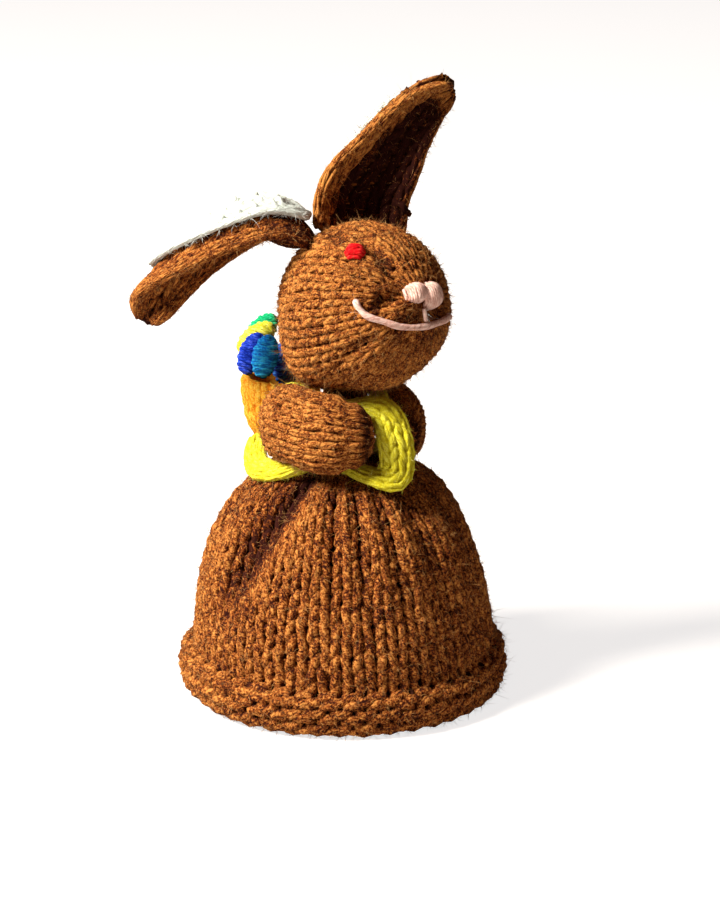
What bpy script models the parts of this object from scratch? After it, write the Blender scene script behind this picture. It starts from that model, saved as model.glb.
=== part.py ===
"""Rabbit egg cosy: a hollow knitted skirt that fits over a boiled egg, with a stuffed rabbit on top
that carries a small basket of felt eggs on its back.

Frame: metres, +Z up, the rabbit faces -Y, the origin is the centre of the hem on the table.
A bearing is an angle about the upright axis, 0 at the front (-Y), growing towards the rabbit's
left (+X).
"""

import math

import bmesh
import bpy
import numpy as np
from mathutils import Matrix, Vector

MM = 0.001
SEAT_GAP = 0.3 * MM  # what sewn pieces keep between them

# Skirt: outer form r = DOME_RADIUS * (1 - (z / DOME_HEIGHT)^2)^(1 / DOME_FULLNESS)
DOME_RADIUS = 25.2 * MM
DOME_HEIGHT = 38.4 * MM
DOME_FULLNESS = 3.5
SKIRT_CLOTH = 2.9 * MM
CROWN_RADIUS = 6.0 * MM
HEM_BULGE = 2.0 * MM  # how far the rolled hem stands out from the dome
HEM_HEIGHT = 8.0 * MM
HEM_FLAT = 2.6 * MM  # width of the flat the hem rests on
SKIRT_SIDES = 56
# Beside its deepest fold the cloth bags out: how far, around which bearing and height, how widely.
BAG_DEPTH = 0.9 * MM
BAG_BEARING = math.radians(-133)
BAG_HEIGHT = 28 * MM
BAG_SPREAD = (math.radians(50), 8.5 * MM)

# Torso: a short stuffed column that leans forwards to the head
TORSO_RADIUS = 3.9 * MM
TORSO_FOOT = DOME_HEIGHT + 1.0 * MM
TORSO_LEAN = 0.4 * MM

# Head: a ball with a soft muzzle; the face points along MUZZLE_RISE above the horizon
HEAD_RADIUS = 13.4 * MM
HEAD_CENTRE = Vector((0.0, -5.0, 64.3)) * MM
MUZZLE_RISE = math.radians(15)
FACE_TURN = math.radians(-2.5)  # the face looks a little to the rabbit's right
MUZZLE_BULGE = 0.7 * MM
MUZZLE_SPREAD = math.radians(38)
NAPE_TURN = math.radians(-130)  # the stuffing sags towards the nape on the rabbit's right
NAPE_RISE = math.radians(-44)
NAPE_BULGE = 2.2 * MM
NAPE_SPREAD = math.radians(28)

# Arms: short stuffed sausages that lie round the torso
ARM_AXIS_Y = -1.2 * MM  # the upright axis the arms curl round
ARM_POINTS = 15

# Basket and its eggs
BASKET_CENTRE_Y = 15.0 * MM
BASKET_FOOT = 38.3 * MM
BASKET_RIM = 48.6 * MM
BASKET_RADIUS = 6.4 * MM
BASKET_WALL = 1.5 * MM
EGG_RADIUS = 2.25 * MM

# Straps: flat knitted cords
STRAP_THICK = 1.8 * MM
STRAP_SIDES = 10

# Ears: leaves folded along their middle, with a pale lining on the outside of the fold
EAR_CLOTH = 2.3 * MM
LINING_CLOTH = 1.5 * MM
EAR_STATIONS = 13
EAR_STEPS = (0.0, 0.2, 0.4, 0.58, 0.72, 0.86, 1.0)  # shares of a half, from the crease to the edge
CREASE_SOFTNESS = 0.34
CURL_START = 0.68  # where the edge begins to roll outwards

# Face stitching
YARN = 0.9 * MM
EYE_SIZE = (1.75 * MM, 1.3 * MM, 0.5 * MM)  # half width, half height, half thickness
EYES = {"eye_right": (-51, 52), "eye_left": (96, 34)}  # turn from the nose and rise, degrees

# The smile, from the rabbit's right to its left: turn from the nose and rise, in degrees.
SMILE = [(-47, 17), (-44, 12.5), (-39, 8), (-28, 4), (-18, 0.3), (-3, -1.8), (11, -2.0), (22, -1.8),
         (30, -1.6)]

# The nose's two pads: turn from the nose, rise, half width, half height and half thickness.
NOSE_PADS = [
    # degrees, degrees, mm, mm, mm
    (8.5, 16.0, 2.1, 1.95, 0.95),
    (-5.0, 20.0, 1.85, 1.5, 0.85),
]

CLOTH_BROWN = (0.29, 0.12, 0.035, 1)
CLOTH_WHITE = (0.86, 0.88, 0.82, 1)
STRAP_YELLOW = (0.83, 0.76, 0.05, 1)
BASKET_ORANGE = (0.93, 0.50, 0.06, 1)
FACE_PINK = (0.86, 0.56, 0.50, 1)
EYE_RED = (0.80, 0.02, 0.03, 1)

# Each trough of the gathered skirt: bearing at the waist, how far it drifts by the foot of the
# fold (degrees), its depth and where it fades out (mm), and its half width (degrees).
FOLDS = [
    # bearing, drift, depth, fades at, half width
    (-76, -28, 3.2, 13, 9.5),
    (-41, 4, 1.3, 17, 7),
    (-25, 5, 1.1, 20, 6),
    (-2, 4, 1.5, 19, 8),
    (24, 6, 1.2, 20, 7),
    (50, 3, 1.5, 18, 9),
    (78, -5, 1.2, 20, 8),
    (104, 5, 1.6, 17, 9),
    (133, 3, 1.2, 21, 8),
    (160, -4, 1.5, 18, 9),
    (190, 4, 1.3, 20, 8),
    (216, -3, 1.6, 18, 9),
    (244, -6, 1.2, 20, 8),
    (266, -5, 1.0, 19, 7),
]
FOLD_UNIT = (1, 1, MM, MM, 1)

# Each arm from its shoulder's end to its paw's: bearing (degrees), height of its centre line, distance
# from the torso's axis and half thickness (mm). Every arm is ARM_TALL times as tall as it is thick.
ARM_TALL = 1.5
ARM_RIGHT = [
    (-122, 44.8, 10.8, 4.0),
    (-110, 45.6, 11.0, 4.2),
    (-94, 46.2, 10.9, 4.3),
    (-68, 45.7, 10.9, 4.35),
    (-22, 45.4, 10.8, 4.3),
]
ARM_LEFT = [
    (113, 45.2, 9.5, 3.4),
    (90, 45.0, 9.4, 3.4),
    (60, 43.8, 9.3, 3.4),
    (29, 42.8, 9.3, 3.4),
]

# Each station of a strap: a point of its centre line (mm), the direction its flat face looks in,
# and its half width (mm).
STRAP_RIGHT = [
    # x, y, z, face x, face y, face z, half width
    (-4.4, 8.0, 47.2, -0.5, -0.9, 0.0, 1.9),
    (-5.1, 6.6, 48.8, -0.8, -0.2, 0.3, 1.6),
    (-5.2, 3.2, 48.9, -1.0, 0.0, 0.1, 1.3),
    (-5.1, -1.0, 48.8, -1.0, 0.0, 0.1, 1.2),
    (-4.1, -4.7, 48.5, -0.9, -0.4, 0.1, 1.1),
    (-2.2, -8.6, 49.0, -0.6, -0.6, 0.5, 1.8),
    (-1.2, -11.2, 48.0, -0.5, -0.8, 0.4, 2.5),
    (-1.3, -13.0, 45.2, -0.5, -0.9, 0.1, 2.8),
    (-1.4, -13.9, 42.0, -0.5, -0.9, 0.1, 2.8),
    (-2.1, -14.1, 39.0, -0.4, -0.8, 0.5, 2.6),
    (-3.9, -11.4, 38.5, -0.2, -0.4, 0.9, 1.9),
    (-5.4, -4.4, 39.5, -0.2, 0.0, 1.0, 1.2),
    (-7.0, -1.6, 39.4, -0.2, 0.0, 1.0, 1.2),
    (-10.2, 0.2, 38.5, -0.3, -0.1, 1.0, 1.3),
    (-11.9, 3.2, 37.85, -0.6, -0.25, 0.75, 1.7),
    (-11.8, 6.9, 37.55, -0.75, -0.15, 0.65, 2.05),
    (-9.7, 10.4, 38.2, -0.85, -0.25, 0.45, 2.1),
    (-6.3, 13.3, 40.2, -0.85, -0.5, 0.1, 1.8),
]
STRAP_LEFT = [
    # x, y, z, face x, face y, face z, half width
    (4.4, 8.0, 47.2, 0.5, -0.9, 0.0, 1.9),
    (5.0, 6.6, 49.6, 0.8, -0.2, 0.3, 1.7),
    (5.0, 3.2, 50.2, 1.0, 0.0, 0.1, 1.5),
    (4.7, -1.0, 49.8, 1.0, 0.0, 0.1, 1.4),
    (3.8, -4.3, 49.1, 0.9, -0.4, 0.1, 1.2),
    (2.4, -7.4, 47.7, 0.6, -0.6, 0.5, 1.3),
    (2.0, -9.0, 45.8, 0.2, -1.0, 0.2, 1.5),
    (1.8, -9.6, 43.2, 0.1, -1.0, 0.0, 1.5),
    (2.2, -9.2, 40.8, 0.1, -0.9, 0.4, 1.5),
    (3.5, -7.0, 39.4, 0.1, -0.4, 0.9, 1.2),
    (5.1, -3.6, 39.25, 0.2, 0.0, 1.0, 1.1),
    (6.9, 1.0, 39.05, 0.2, 0.0, 1.0, 1.1),
    (8.8, 5.0, 38.7, 0.4, 0.1, 0.9, 1.5),
    (9.5, 8.6, 38.1, 0.7, 0.1, 0.7, 2.0),
    (8.6, 11.8, 38.2, 0.9, 0.2, 0.4, 2.0),
    (7.2, 14.2, 39.8, 1.0, 0.2, 0.1, 1.5),
]

# Each station of an ear, base to tip: the crease (mm), the way the open side of the fold looks,
# the half width of the leaf along the cloth (mm) and the angle between its two halves (degrees).
EAR_LEFT = [
    # x, y, z, open x, open y, open z, half width, angle
    (5.0, 2.5, 74.6, -0.31, -0.95, 0.00, 9.4, 116),
    (6.3, 3.0, 80.0, -0.31, -0.95, 0.05, 9.6, 106),
    (9.8, 1.3, 85.6, -0.31, -0.95, 0.10, 7.7, 98),
    (12.9, -0.3, 90.3, -0.28, -0.95, 0.05, 6.1, 94),
    (16.0, -2.4, 94.0, -0.20, -0.95, -0.10, 4.6, 96),
    (19.9, -5.4, 96.4, -0.10, -0.90, -0.40, 2.6, 112),
]
EAR_RIGHT = [
    # x, y, z, open x, open y, open z, half width, angle
    (-5.6, 3.2, 74.6, 0.30, -0.45, -0.84, 5.5, 110),
    (-9.5, 6.8, 77.8, 0.10, -0.35, -0.93, 7.1, 80),
    (-13.8, 10.6, 76.4, -0.05, -0.30, -0.95, 7.0, 66),
    (-18.4, 15.0, 72.2, -0.22, -0.25, -0.93, 6.0, 62),
    (-22.0, 18.4, 66.6, -0.45, -0.20, -0.86, 4.4, 72),
    (-24.2, 20.5, 60.4, -0.66, -0.10, -0.72, 2.2, 110),
]
EAR_CURLS = {"ear_right": 15, "ear_left": 65}  # how far each ear's edges roll outwards, degrees
LINING_REACH = 0.50  # how much of each half of the leaf the lining covers
LINING_SPAN = (0.03, 0.76)  # where it begins and ends along the leaf

# The basket's outside from its foot up: share of its radius, share of its height.
BASKET_PROFILE = [(0.5, 0.0), (0.62, 0.05), (0.72, 0.13), (0.86, 0.32), (0.95, 0.55), (1.0, 0.8),
                  (1.0, 1.0)]

# Each egg in the basket: where it sits from the basket's axis and above the rim (mm), how its long
# axis leans (degrees) and its colour. The eggs are pressed flat against each other, so each is also
# narrower in one direction, which is turned by EGG_TURN.
EGG_STRETCH = 1.65  # length over width
EGG_PRESS = 0.54
EGG_TURN = math.radians(-43)
EGGS = {
    # name: x, y, z, lean aside, lean back, colour
    "egg_sky": (-3.5, -0.3, 4.2, 12, 0, (0.02, 0.36, 0.86, 1)),
    "egg_navy": (-3.4, 3.1, 4.0, 22, 0, (0.03, 0.05, 0.45, 1)),
    "egg_violet": (0.6, -0.4, 2.1, -6, 0, (0.12, 0.14, 0.62, 1)),
    "egg_green": (1.1, 6.0, 6.3, 40, 0, (0.03, 0.58, 0.24, 1)),
    "egg_yellow": (-1.2, 4.6, 5.9, 50, 0, (0.84, 0.78, 0.06, 1)),
}


def clear_scene():
    for obj in list(bpy.data.objects):
        bpy.data.objects.remove(obj, do_unlink=True)


def unit(vectors):
    """Vectors along the last axis, each made one long."""
    return vectors / np.linalg.norm(vectors, axis=-1, keepdims=True)


def heading(bearing):
    """The horizontal direction of a bearing in radians."""
    return np.stack([np.sin(bearing), -np.cos(bearing)], axis=-1)


def through(table, share):
    """A smooth curve through a table's rows, column by column, as a Catmull-Rom spline.

    It is read at shares of its length from 0 to 1, which give one row each."""
    rows = np.asarray(table, float)
    padded = np.vstack([2 * rows[0] - rows[1], rows, 2 * rows[-1] - rows[-2]])
    at = np.asarray(share, float) * (len(rows) - 1)
    span = np.minimum(at.astype(int), len(rows) - 2)
    t = (at - span)[:, None]
    before, start, end, after = (padded[span + k] for k in range(4))
    return 0.5 * (
        2 * start
        + (end - before) * t
        + (2 * before - 5 * start + 4 * end - after) * t**2
        + (3 * start - before - 3 * end + after) * t**3
    )


def material(name, colour, roughness=0.95):
    made = bpy.data.materials.new(name)
    made.use_nodes = True
    shader = made.node_tree.nodes["Principled BSDF"]
    shader.inputs["Base Color"].default_value = colour
    shader.inputs["Roughness"].default_value = roughness
    shader.inputs["Metallic"].default_value = 0.0
    return made


def placed(obj, collection, rig, finish):
    """Gives an object its collection, its parent and its one material."""
    for old in list(obj.users_collection):
        old.objects.unlink(obj)
    collection.objects.link(obj)
    obj.parent = rig
    obj.data.materials.clear()
    obj.data.materials.append(finish)
    return obj


def loft(name, rings):
    """A closed mesh through rings of equal count, each joined to the next, with a cap at both ends.

    rings is an array of shape (rings, points, 3). The points run the same way round in each ring."""
    count, around, _ = rings.shape
    mesh = bpy.data.meshes.new(name)
    ring, point = np.meshgrid(np.arange(count - 1), np.arange(around), indexing="ij")
    here = ring * around + point
    beside = ring * around + (point + 1) % around
    walls = np.stack([here, beside, beside + around, here + around], axis=-1)
    last = (count - 1) * around
    caps = [list(range(around))[::-1], list(range(last, last + around))]
    mesh.from_pydata(rings.reshape(-1, 3).tolist(), [], walls.reshape(-1, 4).tolist() + caps)
    shape = bmesh.new()
    shape.from_mesh(mesh)
    bmesh.ops.recalc_face_normals(shape, faces=shape.faces)
    bmesh.ops.triangulate(shape, faces=[f for f in shape.faces if len(f.verts) > 4])
    shape.to_mesh(mesh)
    shape.free()
    mesh.shade_smooth()
    mesh.set_sharp_from_angle(angle=math.radians(60))
    return bpy.data.objects.new(name, mesh)


def fold_depth(bearing, height):
    """How deep the gathers pull the skirt in, in metres, at bearings and heights.

    Each fold is a bell across its width that deepens from where it fades out up to the waist."""
    depth = np.zeros(np.broadcast(bearing, height).shape)
    for centre, drift, deep, fades, half in np.asarray(FOLDS) * FOLD_UNIT:
        rise = np.clip((height - fades) / (DOME_HEIGHT - fades), 0, 1)
        middle = np.radians(centre + drift * (1 - rise))
        off = (bearing - middle + math.pi) % (2 * math.pi) - math.pi
        depth += deep * rise**0.8 * np.exp(-((off / math.radians(half)) ** 2))
    return depth


def bag(bearing, height):
    """How far the cloth bags out beside its deepest fold: a bell round one place, in metres."""
    wide, tall = BAG_SPREAD
    off = (bearing - BAG_BEARING + math.pi) % (2 * math.pi) - math.pi
    return BAG_DEPTH * np.exp(-((off / wide) ** 2) - ((height - BAG_HEIGHT) / tall) ** 2)


def dome_radius(height, radius, top):
    return radius * np.clip(1 - (height / top) ** 2, 0, 1) ** (1 / DOME_FULLNESS)


def dome_height(radius, widest, top):
    return top * math.sqrt(1 - (radius / widest) ** DOME_FULLNESS)


def skirt_profile():
    """(radius, height) from the crown down the outside, round the rolled hem and up the inside."""
    crown = dome_height(CROWN_RADIUS, DOME_RADIUS, DOME_HEIGHT)
    climb = np.linspace(math.asin(crown / DOME_HEIGHT), math.asin(HEM_HEIGHT / DOME_HEIGHT), 9)
    outer_z = DOME_HEIGHT * np.sin(climb)
    outer = np.stack([dome_radius(outer_z, DOME_RADIUS, DOME_HEIGHT), outer_z], axis=1)

    inner_radius = DOME_RADIUS - SKIRT_CLOTH
    inner_top = DOME_HEIGHT - SKIRT_CLOTH
    outside = DOME_RADIUS + HEM_BULGE
    middle = (inner_radius + outside) / 2
    reach = (outside - inner_radius) / 2
    turn = np.radians([62, 30, 0, -30])
    shoulder = np.stack([middle + reach * np.cos(turn), HEM_HEIGHT / 2 * (1 + np.sin(turn))], axis=1)
    foot = np.array([[middle + HEM_FLAT / 2, 0], [middle - HEM_FLAT / 2, 0]])
    turn_in = np.array([[inner_radius + 0.1 * MM, HEM_HEIGHT * 0.2]])

    crown_in = dome_height(CROWN_RADIUS, inner_radius, inner_top)
    climb_in = np.linspace(math.asin(HEM_HEIGHT / 2 / inner_top), math.asin(crown_in / inner_top), 6)
    inner_z = inner_top * np.sin(climb_in)
    inner = np.stack([dome_radius(inner_z, inner_radius, inner_top), inner_z], axis=1)
    return np.concatenate([outer, shoulder, foot, turn_in, inner])


def skirt():
    """The hollow that goes over the egg: one knitted cloth, gathered at the waist, its hem rolled."""
    profile = skirt_profile()
    bearing = np.linspace(0, 2 * math.pi, SKIRT_SIDES, endpoint=False)
    radius, height = profile[:, :1], profile[:, 1:]
    pulled = radius - fold_depth(bearing[None], height) * np.clip(radius / CROWN_RADIUS - 0.75, 0, 1)
    pulled += bag(bearing[None], height)
    across = pulled[..., None] * heading(bearing)[None]
    up = np.broadcast_to(height, pulled.shape)[..., None]
    return loft("skirt", np.concatenate([across, up], axis=-1))


def sausage(name, points, radii, flatten=1.0, height=0.0):
    """A stuffed tube: a curve with a bevel whose radius follows the points, closed at both ends."""
    line = bpy.data.curves.new(name, "CURVE")
    line.dimensions = "3D"
    line.bevel_depth = 1.0
    line.bevel_resolution = 4
    line.use_fill_caps = True
    spline = line.splines.new("POLY")
    spline.points.add(len(points) - 1)
    for point, place, radius in zip(spline.points, points, radii):
        point.co = (*place, 1)
        point.radius = radius
    obj = bpy.data.objects.new(name, line)
    obj.scale.z = flatten
    obj.location.z = height
    return obj


def round_ends(steps, length, radius, power=2.4):
    """Radii along a tube of this length that is full in the middle and closes roundly at its ends."""
    along = np.linspace(-1, 1, steps)
    end = radius / (length / 2)
    inward = np.clip((np.abs(along) - (1 - end)) / end, 0, 0.985)
    return radius * (1 - inward**power) ** (1 / power)


def torso():
    """The stuffed column between the skirt's crown and the head, leaning forwards."""
    rise = np.array([0.0, 0.06, 0.2, 0.5, 0.8, 0.94, 1.0])
    swell = np.array([0.86, 0.95, 1.0, 1.0, 0.98, 0.9, 0.74])
    top = HEAD_CENTRE.z - HEAD_RADIUS - 2 * SEAT_GAP
    points = [(0, -TORSO_LEAN * t, TORSO_FOOT + (top - TORSO_FOOT) * t) for t in rise]
    return sausage("torso", points, TORSO_RADIUS * swell)


def arm(name, table):
    """One arm: a sausage that lies round the torso from the shoulder to the paw."""
    bearing, height, orbit, thick = through(table, np.linspace(0, 1, ARM_POINTS)).T
    flat = (orbit[:, None] * heading(np.radians(bearing)) + np.array([0, ARM_AXIS_Y / MM])) * MM
    drop = (height - table[0][1]) / ARM_TALL * MM
    length = np.radians(abs(bearing[-1] - bearing[0])) * orbit.mean()
    radii = round_ends(ARM_POINTS, length, thick.mean()) * thick / thick.mean() * MM
    points = [(x, y, z) for (x, y), z in zip(flat, drop)]
    return sausage(name, points, radii, ARM_TALL, table[0][1] * MM)


def face_direction(turn, rise):
    """A direction from the head's centre: turn from the face's bearing, rise above the horizon."""
    level = heading(np.asarray(turn) + FACE_TURN) * np.cos(np.asarray(rise))[..., None]
    return np.concatenate([level, np.sin(np.asarray(rise))[..., None]], axis=-1)


def head_radius(directions):
    """The head's radius along unit directions: a ball that swells into a soft muzzle and a nape."""
    radius = HEAD_RADIUS
    for turn, rise, bulge, spread in (
        (0.0, MUZZLE_RISE, MUZZLE_BULGE, MUZZLE_SPREAD),
        (NAPE_TURN, NAPE_RISE, NAPE_BULGE, NAPE_SPREAD),
    ):
        away = np.arccos(np.clip(directions @ face_direction(turn, rise), -1, 1))
        radius = radius + bulge * np.exp(-((away / spread) ** 2))
    return radius


def on_head(turn, rise, lift):
    """A point lift above the head's skin, as an array."""
    directions = face_direction(turn, rise)
    return np.array(HEAD_CENTRE) + directions * (head_radius(directions) + lift)[..., None]


def head():
    """The stuffed head: a sphere swollen at the muzzle, its seam axis through the nose."""
    bpy.ops.mesh.primitive_uv_sphere_add(segments=28, ring_count=16, radius=1)
    obj = bpy.context.object
    obj.name = obj.data.name = "head"
    aim = Vector(face_direction(0.0, MUZZLE_RISE)).to_track_quat("Z", "Y").to_matrix()
    directions = np.array([aim @ v.co for v in obj.data.vertices])
    shaped = unit(directions) * head_radius(unit(directions))[:, None]
    obj.data.vertices.foreach_set("co", shaped.ravel())
    obj.data.shade_smooth()
    obj.location = HEAD_CENTRE
    return obj


def pad(name, turn, rise, size):
    """A small pad of satin stitches: a flattened ball seated on the head."""
    width, height, thick = size
    bpy.ops.mesh.primitive_uv_sphere_add(segments=12, ring_count=8, radius=1)
    obj = bpy.context.object
    obj.name = obj.data.name = name
    out = Vector(face_direction(turn, rise))
    side = Vector((0, 0, 1)).cross(out).normalized()
    up = out.cross(side)
    aim = Matrix((side, up, out)).transposed()
    # The pad dishes to the head's own curve, so that its whole back lies on the cloth.
    centre = on_head(turn, rise, SEAT_GAP + thick)
    corners = []
    for v in obj.data.vertices:
        x, y, z = v.co.x * width, v.co.y * height, v.co.z * thick
        z -= (x * x + y * y) / (2 * HEAD_RADIUS)
        corners.append(aim @ Vector((x, y, z)))
    obj.data.vertices.foreach_set("co", np.array(corners).ravel())
    obj.data.shade_smooth()
    obj.location = centre
    return obj


def yarn(name, points):
    """One strand of embroidery yarn along these points."""
    line = bpy.data.curves.new(name, "CURVE")
    line.dimensions = "3D"
    line.bevel_depth = YARN / 2
    line.bevel_resolution = 2
    line.use_fill_caps = True
    spline = line.splines.new("POLY")
    spline.points.add(len(points) - 1)
    for point, place in zip(spline.points, points):
        point.co = (*place, 1)
    return bpy.data.objects.new(name, line)


def mouth():
    """The smile: one strand laid on the head along its table."""
    turn, rise = np.radians(through(SMILE, np.linspace(0, 1, 19))).T
    return yarn("mouth", on_head(turn, rise, SEAT_GAP + YARN / 2))


def lip():
    """The short upright stitch between the nose and the smile."""
    rise = np.radians([5.4, 6.2, 7.0])
    return yarn("lip", on_head(np.zeros(3), rise, SEAT_GAP + YARN / 2))


def nose():
    """Two overlapping pads of satin stitch, to be joined into one."""
    halves = [pad("nose", math.radians(turn), math.radians(rise), (wide * MM, high * MM, thick * MM))
              for turn, rise, wide, high, thick in NOSE_PADS]
    return halves


def basket():
    """The basket on the back: a knitted cup that widens upwards, turned, open at the top."""
    outer = [(share * BASKET_RADIUS, BASKET_FOOT + rise * (BASKET_RIM - BASKET_FOOT))
             for share, rise in BASKET_PROFILE]
    # The inside follows the outside a wall's width in, down to the floor.
    inner = [(x - BASKET_WALL, z) for x, z in outer if z > BASKET_FOOT + 2 * BASKET_WALL]
    floor = [(outer[2][0] - BASKET_WALL, BASKET_FOOT + BASKET_WALL), (0.0, BASKET_FOOT + BASKET_WALL)]
    rim = [(outer[-1][0] - BASKET_WALL / 2, BASKET_RIM + 0.4 * MM)]
    outline = floor[::-1] + inner + rim + outer[::-1] + [(0.0, BASKET_FOOT)]
    mesh = bpy.data.meshes.new("basket")
    edges = [(i, i + 1) for i in range(len(outline) - 1)]
    mesh.from_pydata([(x, 0, z) for x, z in outline], edges, [])
    obj = bpy.data.objects.new("basket", mesh)
    turn = obj.modifiers.new("turn", "SCREW")
    turn.steps = turn.render_steps = 24
    turn.use_merge_vertices = True
    turn.merge_threshold = 0.00001
    turn.use_smooth_shade = True
    obj.location.y = BASKET_CENTRE_Y
    return obj


def egg(name):
    """One felt egg, a sphere drawn out along its long axis and pressed flat against its neighbours."""
    x, y, z, aside, back, _ = EGGS[name]
    bpy.ops.mesh.primitive_uv_sphere_add(segments=12, ring_count=8, radius=EGG_RADIUS)
    obj = bpy.context.object
    obj.name = obj.data.name = name
    obj.scale = (1.0, EGG_PRESS, EGG_STRETCH)
    obj.rotation_euler = (math.radians(back), math.radians(aside), EGG_TURN)
    obj.location = (x * MM, BASKET_CENTRE_Y + y * MM, BASKET_RIM + z * MM)
    obj.data.shade_smooth()
    return obj


def strap(name, table):
    """A flat knitted cord: rounded-oblong sections carried along the table's centre line."""
    rows = through(table, np.linspace(0, 1, 33))
    places, faces, half = rows[:, :3] * MM, unit(rows[:, 3:6]), rows[:, 6:] * MM
    along = unit(np.gradient(places, axis=0))
    side = unit(np.cross(along, faces))
    face = np.cross(side, along)
    turn = np.linspace(0, 2 * math.pi, STRAP_SIDES, endpoint=False)
    wide = np.sign(np.cos(turn)) * np.abs(np.cos(turn)) ** 0.8
    high = np.sin(turn)
    rings = (
        places[:, None]
        + side[:, None] * (half * wide)[..., None]
        + face[:, None] * (STRAP_THICK / 2 * high)[None, :, None]
    )
    return loft(name, rings)


def ear_leaf(table, share, across, curl=0.0):
    """The inner face of a folded leaf, and the direction outwards from it, at each point.

    Each section is two halves joined by a round crease. Along a half, t runs from 0 to 1 and the
    cloth's direction is bend * tanh(t / softness), less the roll of its edge; adding the direction
    up gives the shape. across runs from -1 at one edge to 1 at the other."""
    rows = through(table, share)
    crease, opening = rows[:, :3] * MM, unit(rows[:, 3:6])
    half, angle = rows[:, 6] * MM, np.radians(rows[:, 7])
    along = unit(np.gradient(crease, axis=0))
    side = unit(np.cross(along, opening))
    inward = np.cross(side, along)
    bend = (math.pi - angle) / 2
    fine = np.linspace(0, 1, 200)
    turning = np.tanh(fine / CREASE_SOFTNESS) / math.tanh(1 / CREASE_SOFTNESS)
    roll = np.clip((fine - CURL_START) / (1 - CURL_START), 0, 1)
    course = bend[:, None] * turning - math.radians(curl) * roll
    start = np.zeros((len(half), 1))
    right = np.concatenate([start, np.cumsum(np.cos(course), 1)[:, :-1]], 1) * fine[1]
    rise = np.concatenate([start, np.cumsum(np.sin(course), 1)[:, :-1]], 1) * fine[1]
    at = np.rint(np.abs(across) * 199).astype(int)
    way = np.sign(across)
    turned = course[:, at] * way
    places = (
        crease[:, None]
        + (right[:, at] * way * half[:, None])[..., None] * side[:, None]
        + (rise[:, at] * half[:, None])[..., None] * inward[:, None]
    )
    normals = np.sin(turned)[..., None] * side[:, None] - np.cos(turned)[..., None] * inward[:, None]
    return places, normals


def slab(name, inner, outer):
    """A closed sheet between two grids of the same shape, as rings round each station."""
    rings = np.concatenate([inner, outer[:, ::-1]], axis=1)
    return loft(name, rings)


def ear(name, table):
    """The brown leaf: a sheet that thins at its edges and closes at the tip."""
    steps = np.array(EAR_STEPS)
    across = np.concatenate([-steps[:0:-1], steps])
    places, normals = ear_leaf(table, np.linspace(0, 1, EAR_STATIONS), across, EAR_CURLS[name])
    edge = (1 - np.abs(across) ** 6 * 0.45)[None, :, None]
    return slab(name, places, places + normals * EAR_CLOTH * edge)


def lining(name, table):
    """The pale lining on the outside of the fold, sewn on the brown leaf."""
    share = np.linspace(*LINING_SPAN, EAR_STATIONS - 3)
    across = np.linspace(-LINING_REACH, LINING_REACH, 7)
    places, normals = ear_leaf(table, share, across)
    tail = np.sin(np.linspace(0.12, 1, len(share)) * math.pi * 0.94)[:, None, None]
    crown = (1 - 0.55 * np.abs(across / LINING_REACH) ** 4)[None, :, None]
    thick = LINING_CLOTH * crown * np.clip(tail * 1.6, 0.35, 1)
    base = places + normals * (EAR_CLOTH + 1.2 * SEAT_GAP)
    return slab(name, base, base + normals * thick)


def unite(target, tool):
    """Joins a second object into the first with a Boolean union, and drops it."""
    join = target.modifiers.new("join", "BOOLEAN")
    join.operation = "UNION"
    join.object = tool
    bpy.context.view_layer.update()
    graph = bpy.context.evaluated_depsgraph_get()
    joined = bpy.data.meshes.new_from_object(target.evaluated_get(graph))
    target.modifiers.remove(join)
    target.data = joined
    bpy.data.objects.remove(tool)
    return target


def main():
    clear_scene()
    collection = bpy.data.collections.new("egg_cosy")
    bpy.context.scene.collection.children.link(collection)
    rig = bpy.data.objects.new("rig", None)
    collection.objects.link(rig)

    brown = material("brown_knit", CLOTH_BROWN)
    white = material("white_knit", CLOTH_WHITE)
    yellow = material("yellow_cord", STRAP_YELLOW)
    orange = material("orange_knit", BASKET_ORANGE)
    pink = material("pink_yarn", FACE_PINK)
    red = material("red_yarn", EYE_RED)

    arms = arm("arm_right", ARM_RIGHT), arm("arm_left", ARM_LEFT)
    for piece in (skirt(), torso(), head(), *arms):
        placed(piece, collection, rig, brown)
    for side, table in (("right", EAR_RIGHT), ("left", EAR_LEFT)):
        placed(ear(f"ear_{side}", table), collection, rig, brown)
        placed(lining(f"ear_lining_{side}", table), collection, rig, white)
    placed(strap("strap_right", STRAP_RIGHT), collection, rig, yellow)
    placed(strap("strap_left", STRAP_LEFT), collection, rig, yellow)
    placed(basket(), collection, rig, orange)
    for name, row in EGGS.items():
        placed(egg(name), collection, rig, material(f"{name}_felt", row[-1]))
    placed(unite(*nose()), collection, rig, pink)
    placed(mouth(), collection, rig, pink)
    placed(lip(), collection, rig, pink)
    for name, (turn, rise) in EYES.items():
        placed(pad(name, math.radians(turn), math.radians(rise), EYE_SIZE), collection, rig, red)


main()
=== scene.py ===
# %% [markdown]
# # A knitted rabbit egg cosy
#
# A hollow brown skirt that goes over a boiled egg, and on it a small stuffed rabbit with a basket
# of coloured eggs on its back. Everything on it is wool, so nearly every piece is made the same
# way: a smooth surface gives the piece its form, and a strand of yarn is led over that surface in
# loops, row after row, as knitting needles would lead it.

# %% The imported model, which every piece is fitted to
import math

import bpy
import numpy as np
from mathutils import Matrix, Vector


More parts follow.
